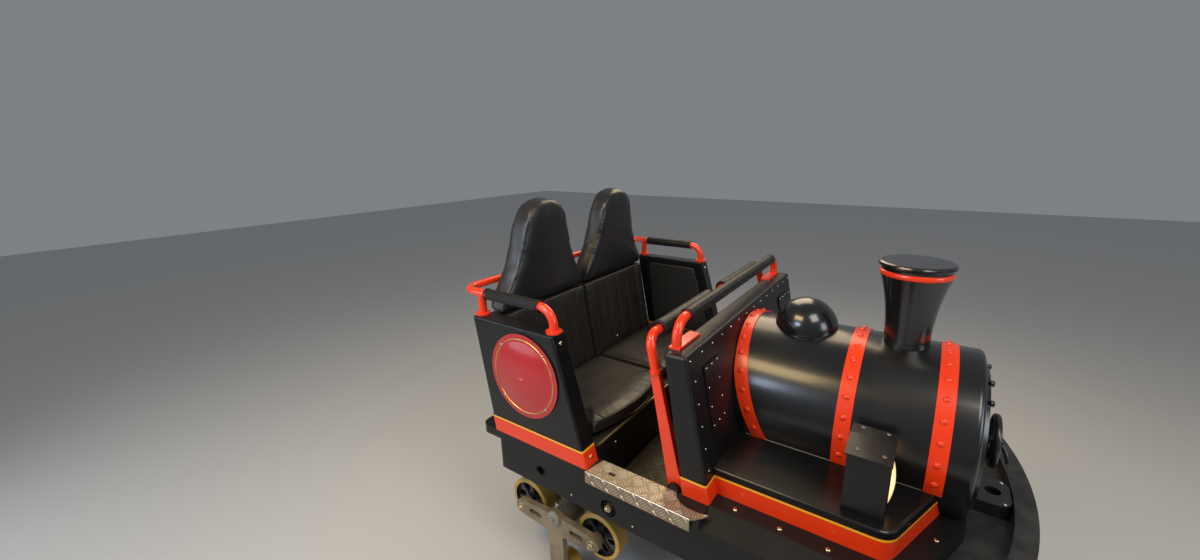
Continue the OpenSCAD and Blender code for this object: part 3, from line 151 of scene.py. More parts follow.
LOOKS = {
    "tub_black": dict(color=(0.007, 0.007, 0.007), rough=0.42, spec=0.22, coat=0.1, coat_rough=0.25,
                      bumps=[("noise", 90, 0.06, 0.0006)], rough_noise=(7, 0.34, 0.5)),
    # Footwell checker plate and its bars: the steps' aluminium darkened well down, as painted shade of the
    # footwell
    "footwell_painted_shade": dict(color=(0.045, 0.038, 0.028), rough=0.5, metallic=0.6,
                       bumps=[("noise", 120, 0.2, 0.0005)], tint=(8, (0.09, 0.075, 0.05), 0.6)),
    "checker_plate": dict(color=(0.30, 0.23, 0.155), rough=0.42, metallic=0.75,
                          bumps=[("noise", 160, 0.15, 0.0004)], rough_noise=(30, 0.34, 0.55),
                          tint=(14, (0.42, 0.36, 0.28), 0.7)),
    "tread_bar": dict(color=(0.62, 0.53, 0.40), rough=0.34, metallic=0.9,
                      bumps=[("noise", 200, 0.12, 0.0003)], rough_noise=(40, 0.26, 0.46)),
    "bumper_rubber": dict(color=(0.018, 0.018, 0.018), rough=0.5, spec=0.4,
                          bumps=[("noise", 26, 0.25, 0.003), ("noise", 140, 0.2, 0.0008)],
                          rough_noise=(9, 0.34, 0.62), tint=(16, (0.05, 0.05, 0.048), 0.6)),
    "coupler_iron": dict(color=(0.012, 0.012, 0.013), rough=0.3, coat=0.3, coat_rough=0.15,
                         bumps=[("noise", 60, 0.15, 0.0008)]),
    "carrier_iron": dict(color=(0.30, 0.24, 0.15), rough=0.5, metallic=0.35,
                         bumps=[("noise", 45, 0.3, 0.002)], rough_noise=(14, 0.4, 0.7),
                         tint=(9, (0.10, 0.08, 0.05), 0.8)),
    "body_black": dict(color=(0.006, 0.006, 0.0065), rough=0.26, coat=0.25, coat_rough=0.14, spec=0.24,
                       bumps=[("noise", 70, 0.03, 0.0006)], rough_noise=(6, 0.26, 0.38)),
    "wall_black": dict(color=(0.006, 0.006, 0.0065), rough=0.40, coat=0.12, coat_rough=0.24, spec=0.3,
                       bumps=[("noise", 70, 0.03, 0.0006)], rough_noise=(6, 0.34, 0.46)),
    "band_red": dict(color=(0.78, 0.040, 0.004), rough=0.3, coat=0.3, coat_rough=0.1, spec=0.4,
                     bumps=[("noise", 30, 0.05, 0.001)]),
    "line_yellow": dict(color=(0.85, 0.42, 0.02), rough=0.25, coat=0.6),
    "trim_vinyl": dict(color=(0.014, 0.014, 0.014), rough=0.42, bumps=[("voronoi", 420, 0.2, 0.0005)]),
    "roundel_red": dict(color=(0.42, 0.014, 0.018), rough=0.22, coat=0.5, coat_rough=0.08, spec=0.4),
    "roundel_gold": dict(color=(0.83, 0.52, 0.14), rough=0.25, metallic=1.0),
    "rail_red": dict(color=(0.80, 0.042, 0.006), rough=0.26, coat=0.4, coat_rough=0.08, spec=0.45),
    "sleeve_foam": dict(color=(0.010, 0.010, 0.010), rough=0.46, spec=0.32,
                        bumps=[("along_x", 130, 0.25, 0.0012), ("noise", 300, 0.1, 0.0004)]),
    "sleeve_foam_y": dict(color=(0.010, 0.010, 0.010), rough=0.46, spec=0.32,
                          bumps=[("along_y", 130, 0.25, 0.0012), ("noise", 300, 0.1, 0.0004)]),
    "seat_vinyl": dict(color=(0.016, 0.015, 0.014), rough=0.40,
                       bumps=[("voronoi", 330, 0.35, 0.0006), ("noise", 26, 0.12, 0.003)],
                       rough_noise=(11, 0.32, 0.5)),
    "shell_vinyl": dict(color=(0.017, 0.017, 0.018), rough=0.33,
                        bumps=[("noise", 14, 0.12, 0.004), ("voronoi", 520, 0.1, 0.0004)],
                        rough_noise=(8, 0.26, 0.42)),
    "boiler_black": dict(color=(0.006, 0.006, 0.0065), rough=0.27, coat=0.45, coat_rough=0.16, spec=0.45,
                         bumps=[("noise", 120, 0.05, 0.0005)], rough_noise=(5, 0.22, 0.33)),
    "gloss_black": dict(color=(0.006, 0.006, 0.0065), rough=0.24, coat=0.5, coat_rough=0.13,
                        bumps=[("noise", 60, 0.03, 0.0006)]),
    "lamp_glass": dict(color=(1.0, 0.62, 0.28), rough=0.12, emission=((1.0, 0.55, 0.2), 2.2), coat=1.0),
    "wheel_tyre": dict(color=(0.55, 0.33, 0.05), rough=0.42, bumps=[("noise", 50, 0.1, 0.001)],
                       tint=(12, (0.30, 0.19, 0.05), 0.7)),
    "hub_black": dict(color=(0.012, 0.012, 0.012), rough=0.3, coat=0.3),
    "pad_grey": dict(color=(0.23, 0.22, 0.20), rough=0.6, bumps=[("noise", 60, 0.2, 0.001)]),
    "worn_iron": dict(color=(0.50, 0.40, 0.24), rough=0.38, metallic=0.8,
                      tint=(24, (0.20, 0.15, 0.08), 0.7)),
    "brass_bolt": dict(color=(0.80, 0.66, 0.42), rough=0.26, metallic=1.0),
    # Dull grey: the lamp lids' bolts, and the painted highlight of the bead between deck and boiler
    "dull_line": dict(color=(0.20, 0.19, 0.17), rough=0.35, metallic=0.6),
    "worn_edge": dict(color=(0.78, 0.75, 0.72), rough=0.3, metallic=1.0),
    "stitch": dict(color=(0.055, 0.052, 0.042), rough=0.5),
    "piping": dict(color=(0.045, 0.043, 0.038), rough=0.32),
    "steel": dict(color=(0.72, 0.69, 0.62), rough=0.24, metallic=1.0),
    "brass_strip": dict(color=(0.86, 0.66, 0.40), rough=0.2, metallic=1.0),
    # Near-black for the bolts' sockets: painted shade standing in for each socket's hollow
    "painted_socket_shade": dict(color=(0.004, 0.004, 0.004), rough=0.6),
}
M = {name: material(name, **look) for name, look in LOOKS.items()}

# Headlamps: middle of the lens, its lit radius, and the glow's colours in its middle and at its rim
LAMP_Y, LAMP_Z, LENS_R = 409.5, 183.5, 68
GLOW_MIDDLE, GLOW_RIM = (1.0, 0.80, 0.50), (1.0, 0.50, 0.16)


def warm_middle(m, y, z, radius):
    """Makes both lenses glow white in the middle and orange towards the rim; y, z and radius in metres."""
    nt = m.node_tree
    split = nt.nodes.new("ShaderNodeSeparateXYZ")
    nt.links.new(nt.nodes.new("ShaderNodeTexCoord").outputs["Object"], split.inputs[0])
    joined = nt.nodes.new("ShaderNodeCombineXYZ")
    for axis, middle, socket in (("Y", y, "X"), ("Z", z, "Y")):
        size = nt.nodes.new("ShaderNodeMath")
        size.operation = "ABSOLUTE"
        off = nt.nodes.new("ShaderNodeMath")
        off.operation = "SUBTRACT"
        off.inputs[1].default_value = middle
        nt.links.new(split.outputs[axis], size.inputs[0])
        nt.links.new(size.outputs[0], off.inputs[0])
        nt.links.new(off.outputs[0], joined.inputs[socket])
    length = nt.nodes.new("ShaderNodeVectorMath")
    length.operation = "LENGTH"
    nt.links.new(joined.outputs[0], length.inputs[0])
    share = spread(nt, length.outputs["Value"], 0, radius, 0, 1)
    glow = between(nt, share, GLOW_MIDDLE, GLOW_RIM)
    nt.links.new(glow, nt.nodes["Principled BSDF"].inputs["Emission Color"])


warm_middle(M["lamp_glass"], P(0, LAMP_Y, 0).y, P(0, 0, LAMP_Z).z, LENS_R / 1000)


# Paint and edges of the CAD nodes
def paint(obj, *looks):
    obj.data.materials.clear()
    for look in looks:
        obj.data.materials.append(M[look])


def bevel(obj, width, segments=2, angle=35):
    b = obj.modifiers.new("round", "BEVEL")
    b.width = width
    b.segments = segments
    b.limit_method = "ANGLE"
    b.angle_limit = math.radians(angle)
    b.harden_normals = False
    b.use_clamp_overlap = True


def smooth(obj, angle=38):
    for p in obj.data.polygons:
        p.use_smooth = True
    obj.data.set_sharp_from_angle(angle=math.radians(angle))


for name, obj in nodes.items():
    paint(obj, slots[name])
    smooth(obj)

# Widths of the rounded edges, in metres
EDGES = {"tub": 0.002, "front_coupler": 0.003, "drawbar": 0.004, "seat_pan": 0.0015, "hatch_plates": 0.001,
         "headlamps": 0.0012, "steps": 0.0008, "boiler_hoops": 0.0012, "underframe": 0.004,
         "wheel_carriers": 0.003, "nose_bumper": 0.012, "foot_bands": 0.001, "seat_bulkhead": 0.002}
for name, width in EDGES.items():
    bevel(nodes[name], width, 4 if name == "nose_bumper" else 2)

# Wheels: a yellow tyre, TYRE metres thick, on a black hub; a guide wheel lies flat, so its axis is upright
TYRE = 0.0165
for name, obj in nodes.items():
    if slots[name] != "wheel_tyre":
        continue
    paint(obj, "wheel_tyre", "hub_black")
    low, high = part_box(name)
    mid = (low + high) / 2
    axis = 2 if name.startswith("guide") else 1
    radius = (high - low)[0] / 2
    for p in obj.data.polygons:
        d = p.center - mid
        d[axis] = 0
        if d.length < radius - TYRE:
            p.material_index = 1

for name in ("dome", "chimney", "chimney_lid"):
    paint(nodes[name], "gloss_black")
for name in ("cab_wall", "hatch_plates"):
    paint(nodes[name], "wall_black")
# The footwell's plate gets the darkened aluminium, as painted shade
paint(nodes["floor_plate"], "footwell_painted_shade")

# Roundels: a red face with a black edge
paint(nodes["roundels"], "roundel_red", "body_black")
for p in nodes["roundels"].data.polygons:
    if abs(p.normal.y) < 0.5:
        p.material_index = 1


# Helpers for the pieces that are added
def link(obj):
    bpy.context.scene.collection.objects.link(obj)
    return obj


def new_piece(name, verts, faces, mat, body="root", smooth_angle=40):
    me = bpy.data.meshes.new(name)
    me.from_pydata([tuple(v) for v in verts], [], faces)
    bm = bmesh.new()
    bm.from_mesh(me)
    bmesh.ops.recalc_face_normals(bm, faces=bm.faces)
    bm.to_mesh(me)
    bm.free()
    o = link(bpy.data.objects.new(name, me))
    me.materials.append(M[mat])
    smooth(o, smooth_angle)
    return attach(o, body)


BLOCK_FACES = ((0, 1, 3, 2), (4, 6, 7, 5), (0, 4, 5, 1), (2, 3, 7, 6), (0, 2, 6, 4), (1, 5, 7, 3))


def blocks(name, cells, mat):
    """Six-sided blocks, each from eight corners in the order of three nested loops over its sides."""
    verts = [corner for cell in cells for corner in cell]
    faces = [tuple(8 * i + k for k in face) for i in range(len(cells)) for face in BLOCK_FACES]
    return new_piece(name, verts, faces, mat)


def basis(normal):
    n = Vector(normal).normalized()
    a = Vector(UP) if abs(n.z) < 0.9 else Vector(AHEAD)
    u = n.cross(a).normalized()
    return n, u, n.cross(u)


# Depth in mm to which a bolt or rivet is sunk below the surface
SUNK = -0.5


def studs(name, spots, rings, mat, body="root", sides=12):
    """Round heads on a surface: spots of (point, normal), rings of (radius, height) in mm."""
    verts, faces = [], []
    for point, normal in spots:
        n, u, v = basis(normal)
        base = len(verts)
        for r, h in rings:
            for k in range(sides):
                t = 2 * math.pi * k / sides
                verts.append(point + n * h / 1000 + (u * math.cos(t) + v * math.sin(t)) * r / 1000)
        for i in range(len(rings) - 1):
            for k in range(sides):
                a, b = base + i * sides + k, base + i * sides + (k + 1) % sides
                faces.append((a, b, b + sides, a + sides))
        top = base + (len(rings) - 1) * sides
        faces.append(tuple(range(top, top + sides)))
        faces.append(tuple(range(base + sides - 1, base - 1, -1)))
    return new_piece(name, verts, faces, mat, body, 60)


def dome(r, h, steps=4):
    """Rings of a round head with a small flat on top."""
    turns = [math.pi / 2 * i / steps for i in range(steps)]
    return [(r, SUNK)] + [(r * math.cos(t), h * math.sin(t)) for t in turns] + [(r * 0.12, h)]


def both(spots):
    """The same spots on the left side too."""
    out = list(spots)
    for p, n in spots:
        out.append((Vector((p[0], -p[1], p[2])), Vector((n[0], -n[1], n[2]))))
    return out


def both_paths(paths):
    """The same paths on the left side too."""
    return paths + [[Vector((p.x, -p.y, p.z)) for p in path] for path in paths]


def bolts(name, spots, r=6.5, h=4.0, mat="brass_bolt", body="root"):
    """Round-head bolts, each with a near-black hex disc on top as painted shade for its socket's hollow."""
    studs(name, spots, [(r, SUNK), (r, 0.8), (r * 0.93, h * 0.6), (r * 0.75, h * 0.88), (r * 0.5, h)],
          mat, body, 16)
    studs(name + "_painted_sockets", [(p + Vector(n).normalized() * (h - 0.4) / 1000, n) for p, n in spots],
          [(r * 0.4, 0), (r * 0.38, 0.55)], "painted_socket_shade", body, 6)


def tube(name, paths, r, mat, body="root", sides=8, closed=False):
    """Round strips of radius r in mm along paths of points."""
    verts, faces = [], []
    for path in paths:
        n, base, up = len(path), len(verts), None
        for i, p in enumerate(path):
            a = path[(i - 1) % n] if closed or i else p
            b = path[(i + 1) % n] if closed or i < n - 1 else p
            t = (b - a).normalized()
            if up is None:
                up = basis(t)[1]
            up = (up - t * up.dot(t)).normalized()
            w = t.cross(up)
            for k in range(sides):
                q = 2 * math.pi * k / sides
                verts.append(p + (up * math.cos(q) + w * math.sin(q)) * r / 1000)
        for i in range(n if closed else n - 1):
            c, d = base + i * sides, base + (i + 1) % n * sides
            for k in range(sides):
                faces.append((c + k, c + (k + 1) % sides, d + (k + 1) % sides, d + k))
        if not closed:
            faces.append(tuple(base + k for k in reversed(range(sides))))
            faces.append(tuple(base + (n - 1) * sides + k for k in range(sides)))
    return new_piece(name, verts, faces, mat, body, 60)


def circle(centre, normal, r, count=48):
    """A ring of points with radius r in mm."""
    n, u, v = basis(normal)
    turns = [2 * math.pi * k / count for k in range(count)]
    return [centre + (u * math.cos(t) + v * math.sin(t)) * r / 1000 for t in turns]


def hit(target, start, way):
    """Point and outward normal where a ray first meets an object, or None."""
    inv = target.matrix_world.inverted()
    ok, p, n, _ = target.ray_cast(inv @ start, (inv.to_3x3() @ Vector(way)).normalized())
    return (target.matrix_world @ p, (target.matrix_world.to_3x3() @ n).normalized()) if ok else None


def on(node, start, way):
    """Point and normal where a ray first meets a node, which it has to."""
    found = hit(nodes[node], start, way)
    if not found:
        raise ValueError(f"nothing of {node} at {tuple(start)}")
    return found


# Where the rays that place the fasteners start: over the car, beside it, ahead of the cab wall beside
# the boiler, and in the doorway between side panel and cab wall
ABOVE, BESIDE, FRONT_ROOM, DOORWAY = 400, -900, 1200, 700


def from_above(node, places):
    return both([on(node, P(x, y, ABOVE), DOWN) for x, y in places])


def from_beside(node, places):
    return both([on(node, P(x, BESIDE, z), LEFT) for x, z in places])


def from_front_room(node, places):
    return both([on(node, P(FRONT_ROOM, y, z), BACK) for y, z in places])


def from_doorway(node, places):
    return both([on(node, P(DOORWAY, y, z), BACK) for y, z in places])


bpy.context.view_layer.update()

# Boiler bands: two square ones, and a rear one that leans and bows along the cab wall
HOOP_R, HOOP_Z = 284, 170
HOOP_STATIONS = (1340, 1596)
REAR_LOW, REAR_HIGH, REAR_STATION, REAR_LEAN, REAR_BOW = 90, 450, 1083, 122, 48
RIVETS, RIVET_STEP, LOWEST_RIVET = 16, 13.1, 98
HOOP_RIVET = [(10, SUNK), (10, 0.8), (8.6, 2.4), (6.2, 4.2), (3, 5.2), (1, 5.4)]


def rear_hoop(z):
    """Station of the rear band at a height."""
    t = (z - REAR_LOW) / (REAR_HIGH - REAR_LOW)
    return REAR_STATION - REAR_LEAN * t - REAR_BOW * t * (1 - t)


spots = []
for k in range(-RIVETS // 2, RIVETS // 2):
    a = math.radians(RIVET_STEP * (k + 0.5))
    n = Vector((0, math.sin(a), math.cos(a)))
    z = HOOP_Z + HOOP_R * n.z
    if z > LOWEST_RIVET:
        for x in (*HOOP_STATIONS, rear_hoop(z)):
            spots.append((P(x, HOOP_R * n.y, z), n))
studs("hoop_rivets", spots, HOOP_RIVET, "band_red", sides=16)

# Cab wall: a row of rivets along its top, a column down each side, and those round the hatch plates
WALL_TOP, WALL_HALF, WALL_COUNT = 461, 550, 14
COLUMN_Y, COLUMN_TOP, COLUMN_STEP, COLUMN_COUNT = -537, 392, 74, 5
HATCH_SIDES, HATCH_MID, HATCH_ROWS = (-460, -374), -417, (404, 340, 275, 211)
top_row = [-WALL_HALF + 2 * WALL_HALF * k / (WALL_COUNT - 1) for k in range(WALL_COUNT)]
column = [(COLUMN_Y, COLUMN_TOP - COLUMN_STEP * k) for k in range(COLUMN_COUNT)]
hatch = [(y, z) for z in HATCH_ROWS for y in HATCH_SIDES]
hatch += [(HATCH_MID, z) for z in (HATCH_ROWS[0], HATCH_ROWS[-1])]
spots = [on("cab_wall", P(FRONT_ROOM, y, WALL_TOP), BACK) for y in top_row]
spots += from_front_room("cab_wall", column) + from_front_room("hatch_plates", hatch)
studs("wall_rivets", spots, dome(3.6, 2.6), "steel", sides=10)

# Bolts on the flange, the nose deck, the coupling block and the lamp lids, as (station, distance)
FLANGE_BOLTS = ((1101, -545), (1237, -547), (1370, -548))
NOSE_BOLTS = ((1619, -347), (1684, -145))
BLOCK_BOLTS = ((1712, -58), (1795, -58))
LID_BOLTS = [(x, y) for x in (1405, 1470) for y in (-351, -455)]
bolts("flange_bolts", from_above("tub", FLANGE_BOLTS), 7.5, 4.5)
bolts("nose_bolts", from_above("tub", NOSE_BOLTS), 7, 4)
bolts("block_bolts", from_above("front_coupler", BLOCK_BOLTS), 6, 3.5)
bolts("lid_bolts", from_above("headlamps", LID_BOLTS), 5.5, 3.4, "dull_line")

# Bolts on the front edge of panel and plinth, as (distance, height)
PANEL_BOLT, PLINTH_BOLT = (-614, 438), (-614, 30)
bolts("panel_bolts", from_doorway("side_panels", [PANEL_BOLT]) + from_doorway("foot_bands", [PLINTH_BOLT]),
      7.5, 4)

# Skirt: screws and the pedal's bolt, as (station, height), and a ring round the pedal and the round hole
SKIRT_SCREWS = ((509, -157), (778, -161))
PEDAL_BOLT = (671, -141)
bolts("skirt_screws", from_beside("tub", SKIRT_SCREWS), 4, 2.5, "steel")
bolts("pedal_bolts", from_beside("pedals", [PEDAL_BOLT]), 7, 4)
# name, station, distance, height, radius, thickness
for name, x, y, z, r, thick in (("pedal_rings", 676, 632.4, -137, 23, 1.6),
                                ("skirt_rings", 361, 632.2, -116, 20, 1.4)):
    tube(name, [circle(P(x, s * y, z), LEFT, r, 40) for s in SIDES], thick, "tub_black", closed=True)

# Line between deck and boiler: a thin bead along the joint, drawn in grey as a painted highlight
SEAM_REAR, SEAM_FRONT, SEAM_Y, SEAM_Z = 1034, 1571, 269.8, 90.6
tube("deck_seam_highlights", [[P(x, s * SEAM_Y, SEAM_Z) for x in (SEAM_REAR, SEAM_FRONT)] for s in SIDES], 1.5,
     "dull_line")

# Smokebox door: dogs at two angles from its top on each side, and the lever at the handwheel
DOOR_X, DOG_R, DOG_ANGLES = 1704, 228, (17, 36)
DOG = [(9, SUNK), (9, 7), (7, 9), (3, 9.6)]
LEVER = [P(1766, -12, 166), P(1776, -22, 150), P(1784, -30, 128), P(1785, -31, 118)]
spots = []
for a in map(math.radians, DOG_ANGLES):
    spots.append((P(DOOR_X, -DOG_R * math.sin(a), HOOP_Z + DOG_R * math.cos(a)), AHEAD))
studs("door_dogs", both(spots), DOG, "boiler_black")
tube("wheel_lever", [LEVER], 6, "coupler_iron", sides=12)

# Roundels: a thin gold ring and four screws on it
ROUNDEL_X, ROUNDEL_Z, GOLD_Y, GOLD_R, SCREW_Y, SCREW_R = 322, 286, 655.4, 145, 656.5, 147
tube("roundel_rings", [circle(P(ROUNDEL_X, s * GOLD_Y, ROUNDEL_Z), LEFT, GOLD_R, 96) for s in SIDES], 2.4,
     "roundel_gold", closed=True)
spots = []
for t in [math.radians(45 + 90 * k) for k in range(4)]:
    spots.append((P(ROUNDEL_X + SCREW_R * math.cos(t), -SCREW_Y, ROUNDEL_Z + SCREW_R * math.sin(t)),
                  (0, -1, 0)))
bolts("roundel_screws", both(spots), 4.6, 2.6, "steel")

# Headlamps: a black rim round each lens
RIM_X, RIM_R = 1489.5, 69
tube("lens_rims", [circle(P(RIM_X, s * LAMP_Y, LAMP_Z), AHEAD, RIM_R, 64) for s in SIDES], 1.8, "body_black",
     closed=True)

# Yellow line along the top of the red plinths: their upper part, drawn a little outwards
LINE_FOOT, LINE_OUT = 58.5, 0.0005
line = link(nodes["foot_bands"].copy())
line.data = nodes["foot_bands"].data.copy()
line.name = "yellow_lines"
line.modifiers.clear()
for key in list(line.keys()):
    del line[key]
bm = bmesh.new()
bm.from_mesh(line.data)
bmesh.ops.bisect_plane(bm, geom=bm.verts[:] + bm.edges[:] + bm.faces[:],
                       plane_co=P(0, 0, LINE_FOOT), plane_no=UP, clear_inner=True)
bm.normal_update()
for v in bm.verts:
    outward = Vector((v.normal.x, v.normal.y, 0))
    if outward.length > 0.2:
        v.co += outward.normalized() * LINE_OUT
bm.to_mesh(line.data)
bm.free()
paint(line, "line_yellow")
line.parent = None
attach(line, "root")

# Five-bar tread: two sets of groups PITCH apart, at right angles to each other, of bars BAR_GAP apart. A
# bar is tried at points STEP apart, ends where the plate ends, and is left out if half its length is under
# BAR_LEAST. Its outline is scaled by a share of half its length and by its half width, for its foot and
# for its top.
PITCH, BAR_GAP, GRID_X, GRID_Y, GRID_REACH, MARGIN = 61.2, 8.6, 660, -607, 20, 30
TRIES, STEP, BAR_END, BAR_LEAST = 19, 2, 0.5, 4
BAR = [(1, 0), (0.72, 0.72), (0.3, 1), (-0.3, 1), (-0.72, 0.72), (-1, 0), (-0.72, -0.72), (-0.3, -1),
       (0.3, -1), (0.72, -0.72)]
BAR_FOOT, BAR_TOP = (1, 2.3), (0.86, 1.0)
BAR_SUNK, BAR_HEIGHT = -0.2, 1.9
# How far off its plane a surface may be found, in metres, and how far outside it the rays start, in mm
FLAT, OFF_TOP, OFF_EDGE = 0.0004, 30, 136


def tread(name, place, inside, u_range, v_range, height=BAR_HEIGHT, mat="tread_bar"):
    """Raised bars in groups of five, crossing at 45 degrees; place(u, v) gives a point and a normal."""
    verts, faces = [], []
    count = len(BAR)
    middle = TRIES // 2

    def bar(u, v, du, dv):
        ok = [inside(u + du * t, v + dv * t) for t in [(k - middle) * STEP for k in range(TRIES)]]
        if not ok[middle]:
            return
        lo = hi = middle
        while lo > 0 and ok[lo - 1]:
            lo -= 1
        while hi < TRIES - 1 and ok[hi + 1]:
            hi += 1
        half = (hi - lo) * STEP / 2 - BAR_END
        if half < BAR_LEAST:
            return
        shift = ((lo + hi) / 2 - middle) * STEP
        u, v = u + du * shift, v + dv * shift
        c, n = place(u, v)
        along = (place(u + du, v + dv)[0] - c).normalized()
        across = n.cross(along)
        base = len(verts)
        for (scale_l, scale_w), h in ((BAR_FOOT, BAR_SUNK), (BAR_TOP, height)):
            for a, b in BAR:
                verts.append(c + (along * a * half * scale_l + across * b * scale_w + n * h) / 1000)
        for k in range(count):
            after = (k + 1) % count
            faces.append((base + k, base + after, base + count + after, base + count + k))
        faces.append(tuple(range(base + count, base + 2 * count)))

    d = math.sqrt(0.5)
    for i in range(-GRID_REACH, GRID_REACH + 1):
        for j in range(-GRID_REACH, GRID_REACH + 1):
            for half_step, du, dv in ((0, d, d), (0.5, d, -d)):
                u, v = (i + half_step) * PITCH + GRID_X, (j + half_step) * PITCH + GRID_Y
                if not (u_range[0] - MARGIN < u < u_range[1] + MARGIN
                        and v_range[0] - MARGIN < v < v_range[1] + MARGIN):
                    continue
                for k in range(-2, 3):
                    bar(u - dv * BAR_GAP * k, v + du * BAR_GAP * k, du, dv)
    return new_piece(name, verts, faces, mat, smooth_angle=30)


def flat_top(node, z, side=1):
    """A level plate: its point and normal at (u, v), and whether (u, v) is on it."""
    def inside(u, v):
        found = hit(nodes[node], P(u, v * side, z + OFF_TOP), DOWN)
        return bool(found) and abs(found[0].z - P(0, 0, z).z) < FLAT
    return lambda u, v: (P(u, v * side, z), Vector(UP)), inside


STEP_REAR, STEP_TOP_REAR, STEP_FRONT, STEP_OUT, STEP_TOP = 603, 1001, 1045, 664, 4.3
# The step's upright edge takes the pattern up where v is its height less this
EDGE_SHIFT = 590


def step_edge(side):
    """The upright edge of a step: its point and normal at (u, v), and whether (u, v) is on it."""
    def inside(u, v):
        found = hit(nodes["steps"], P(u, side * (STEP_OUT + OFF_EDGE), v + EDGE_SHIFT), (0, -side, 0))
        return bool(found) and abs(abs(found[0].y) - STEP_OUT / 1000) < FLAT
    return lambda u, v: (P(u, side * STEP_OUT, v + EDGE_SHIFT), Vector((0, side, 0))), inside


STEP_U, STEP_V, EDGE_V = (STEP_REAR, STEP_FRONT), (-STEP_OUT, -578), (-632, -584)
FLOOR_U, FLOOR_V, FLOOR_Z, FLOOR_BAR = (589, 1051), (-572, 572), -164, 1.5
for side, word in SIDE_WORDS:
    tread("step_tread_" + word, *flat_top("steps", STEP_TOP, -side), STEP_U, STEP_V)
    tread("step_edge_tread_" + word, *step_edge(side), STEP_U, EDGE_V)
# The footwell's bars take the same painted shade as its plate
tread("floor_tread", *flat_top("floor_plate", FLOOR_Z), FLOOR_U, FLOOR_V, FLOOR_BAR, "footwell_painted_shade")

# Worn, bright edge of the steps
WORN_Y, WORN_Z = 663.4, 4.2
tube("step_rims", [[P(x, s * WORN_Y, WORN_Z) for x in (STEP_REAR, STEP_TOP_REAR)] for s in SIDES], 1.5,
     "worn_edge")

# Bright strip on the lip of the seat pan: its top and its front, as stations and heights from and to
LIP_SPAN = (4, 560)
LIP_BARS = ((585, 594.2, 44.6, 46.0), (592.6, 594.2, 40.5, 46.0))
LIP_BOLTS = ((-460, 0.4), (-120, 0.4))
cells = []
for s in SIDES:
    for x0, x1, z0, z1 in LIP_BARS:
        cells.append([P(x, s * y, z) for y in LIP_SPAN for x in (x0, x1) for z in (z0, z1)])
blocks("lip_strip", cells, "brass_strip")
bolts("lip_bolts", from_doorway("seat_pan", LIP_BOLTS), 6.5, 3.6)

# Spokes of the road wheels: their count, the first one's angle, their reach and how far in they lie, in m
SPOKES, SPOKE_TURN, SPOKE_REACH, SPOKE_IN = 6, 12, (0.020, 0.080), 0.0145
for name in nodes:
    if not name.startswith("road_wheel"):
        continue
    low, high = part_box(name)
    c = (low + high) / 2
    side = 1 if c.y > 0 else -1
    y = (high.y if side > 0 else low.y) - side * SPOKE_IN
    arms = []
    for k in range(SPOKES):
        t = math.radians(360 / SPOKES * k + SPOKE_TURN)
        way = Vector((math.cos(t), 0, math.sin(t)))
        arms.append([Vector((c.x, y, c.z)) + way * r for r in SPOKE_REACH])
    tube("spokes_" + name, arms, 5, "hub_black", body=name, sides=10)

# Wheel carriers: nuts of the road wheels' and up-stop wheels' pins, and a rubber pad with its nut
CARRIERS, WHEEL_PITCH = (362, 1462), 376
PIN_Y, PIN_Z, UPSTOP_Z, PAD_Z, PAD_NUT = -577, -410, -657, -375, 0.0135
pins = both([(P(x + o * WHEEL_PITCH / 2, PIN_Y, PIN_Z), (0, -1, 0)) for x in CARRIERS for o in SIDES])
upstops = from_beside("wheel_carriers", [(x, UPSTOP_Z) for x in CARRIERS])
pads = from_beside("wheel_carriers", [(x, PAD_Z) for x in CARRIERS])
studs("pin_washers", pins, [(21, SUNK), (21, 3), (20, 3.6)], "worn_iron", sides=28)
studs("pin_nuts", pins, [(15.5, 3), (15.5, 13), (13.5, 14.5)], "worn_iron", sides=6)
studs("pin_ends", pins, [(8, 14), (8, 19), (6.5, 20)], "worn_iron", sides=16)
studs("upstop_nuts", upstops, [(14, SUNK), (14, 10), (12, 11.5)], "worn_iron", sides=6)
studs("rubber_pads", pads, [(31, SUNK), (31, 9), (27, 13), (14, 14)], "pad_grey", sides=36)
studs("pad_nuts", [(p + n * PAD_NUT, n) for p, n in pads], [(10, 0), (10, 7), (8, 8)], "worn_iron", sides=6)


# Soft pieces: a node's mesh, remeshed, swollen as cloth where it is padded, grooved and made finer
def take(node, name, side=0, shrink=0.0):
    """A copy of a CAD node's mesh, or of its right (-1) or left (1) half, as an object of its own."""
    bm = bmesh.new()
    bm.from_mesh(nodes[node].data)
    bm.transform(nodes[node].matrix_world)
    if side:
        bmesh.ops.delete(bm, geom=[v for v in bm.verts if v.co.y * side < 0], context="VERTS")
    bm.normal_update()
    for v in bm.verts:
        v.co -= v.normal * shrink
    me = bpy.data.meshes.new(name)
    bm.to_mesh(me)
    bm.free()
    return link(bpy.data.objects.new(name, me))


def bake(obj):
    """Applies the modifiers of obj."""
    bpy.context.view_layer.update()
    me = bpy.data.meshes.new_from_object(obj.evaluated_get(bpy.context.evaluated_depsgraph_get()))
    obj.modifiers.clear()
    obj.data = me


def coords(me, what="co"):
    out = np.empty(len(me.vertices) * 3)
    me.vertices.foreach_get(what, out)
    return out.reshape(-1, 3)


def set_coords(me, co):
    me.vertices.foreach_set("co", np.ascontiguousarray(co).ravel())
    me.update()


CLOTH_FRAMES = 20


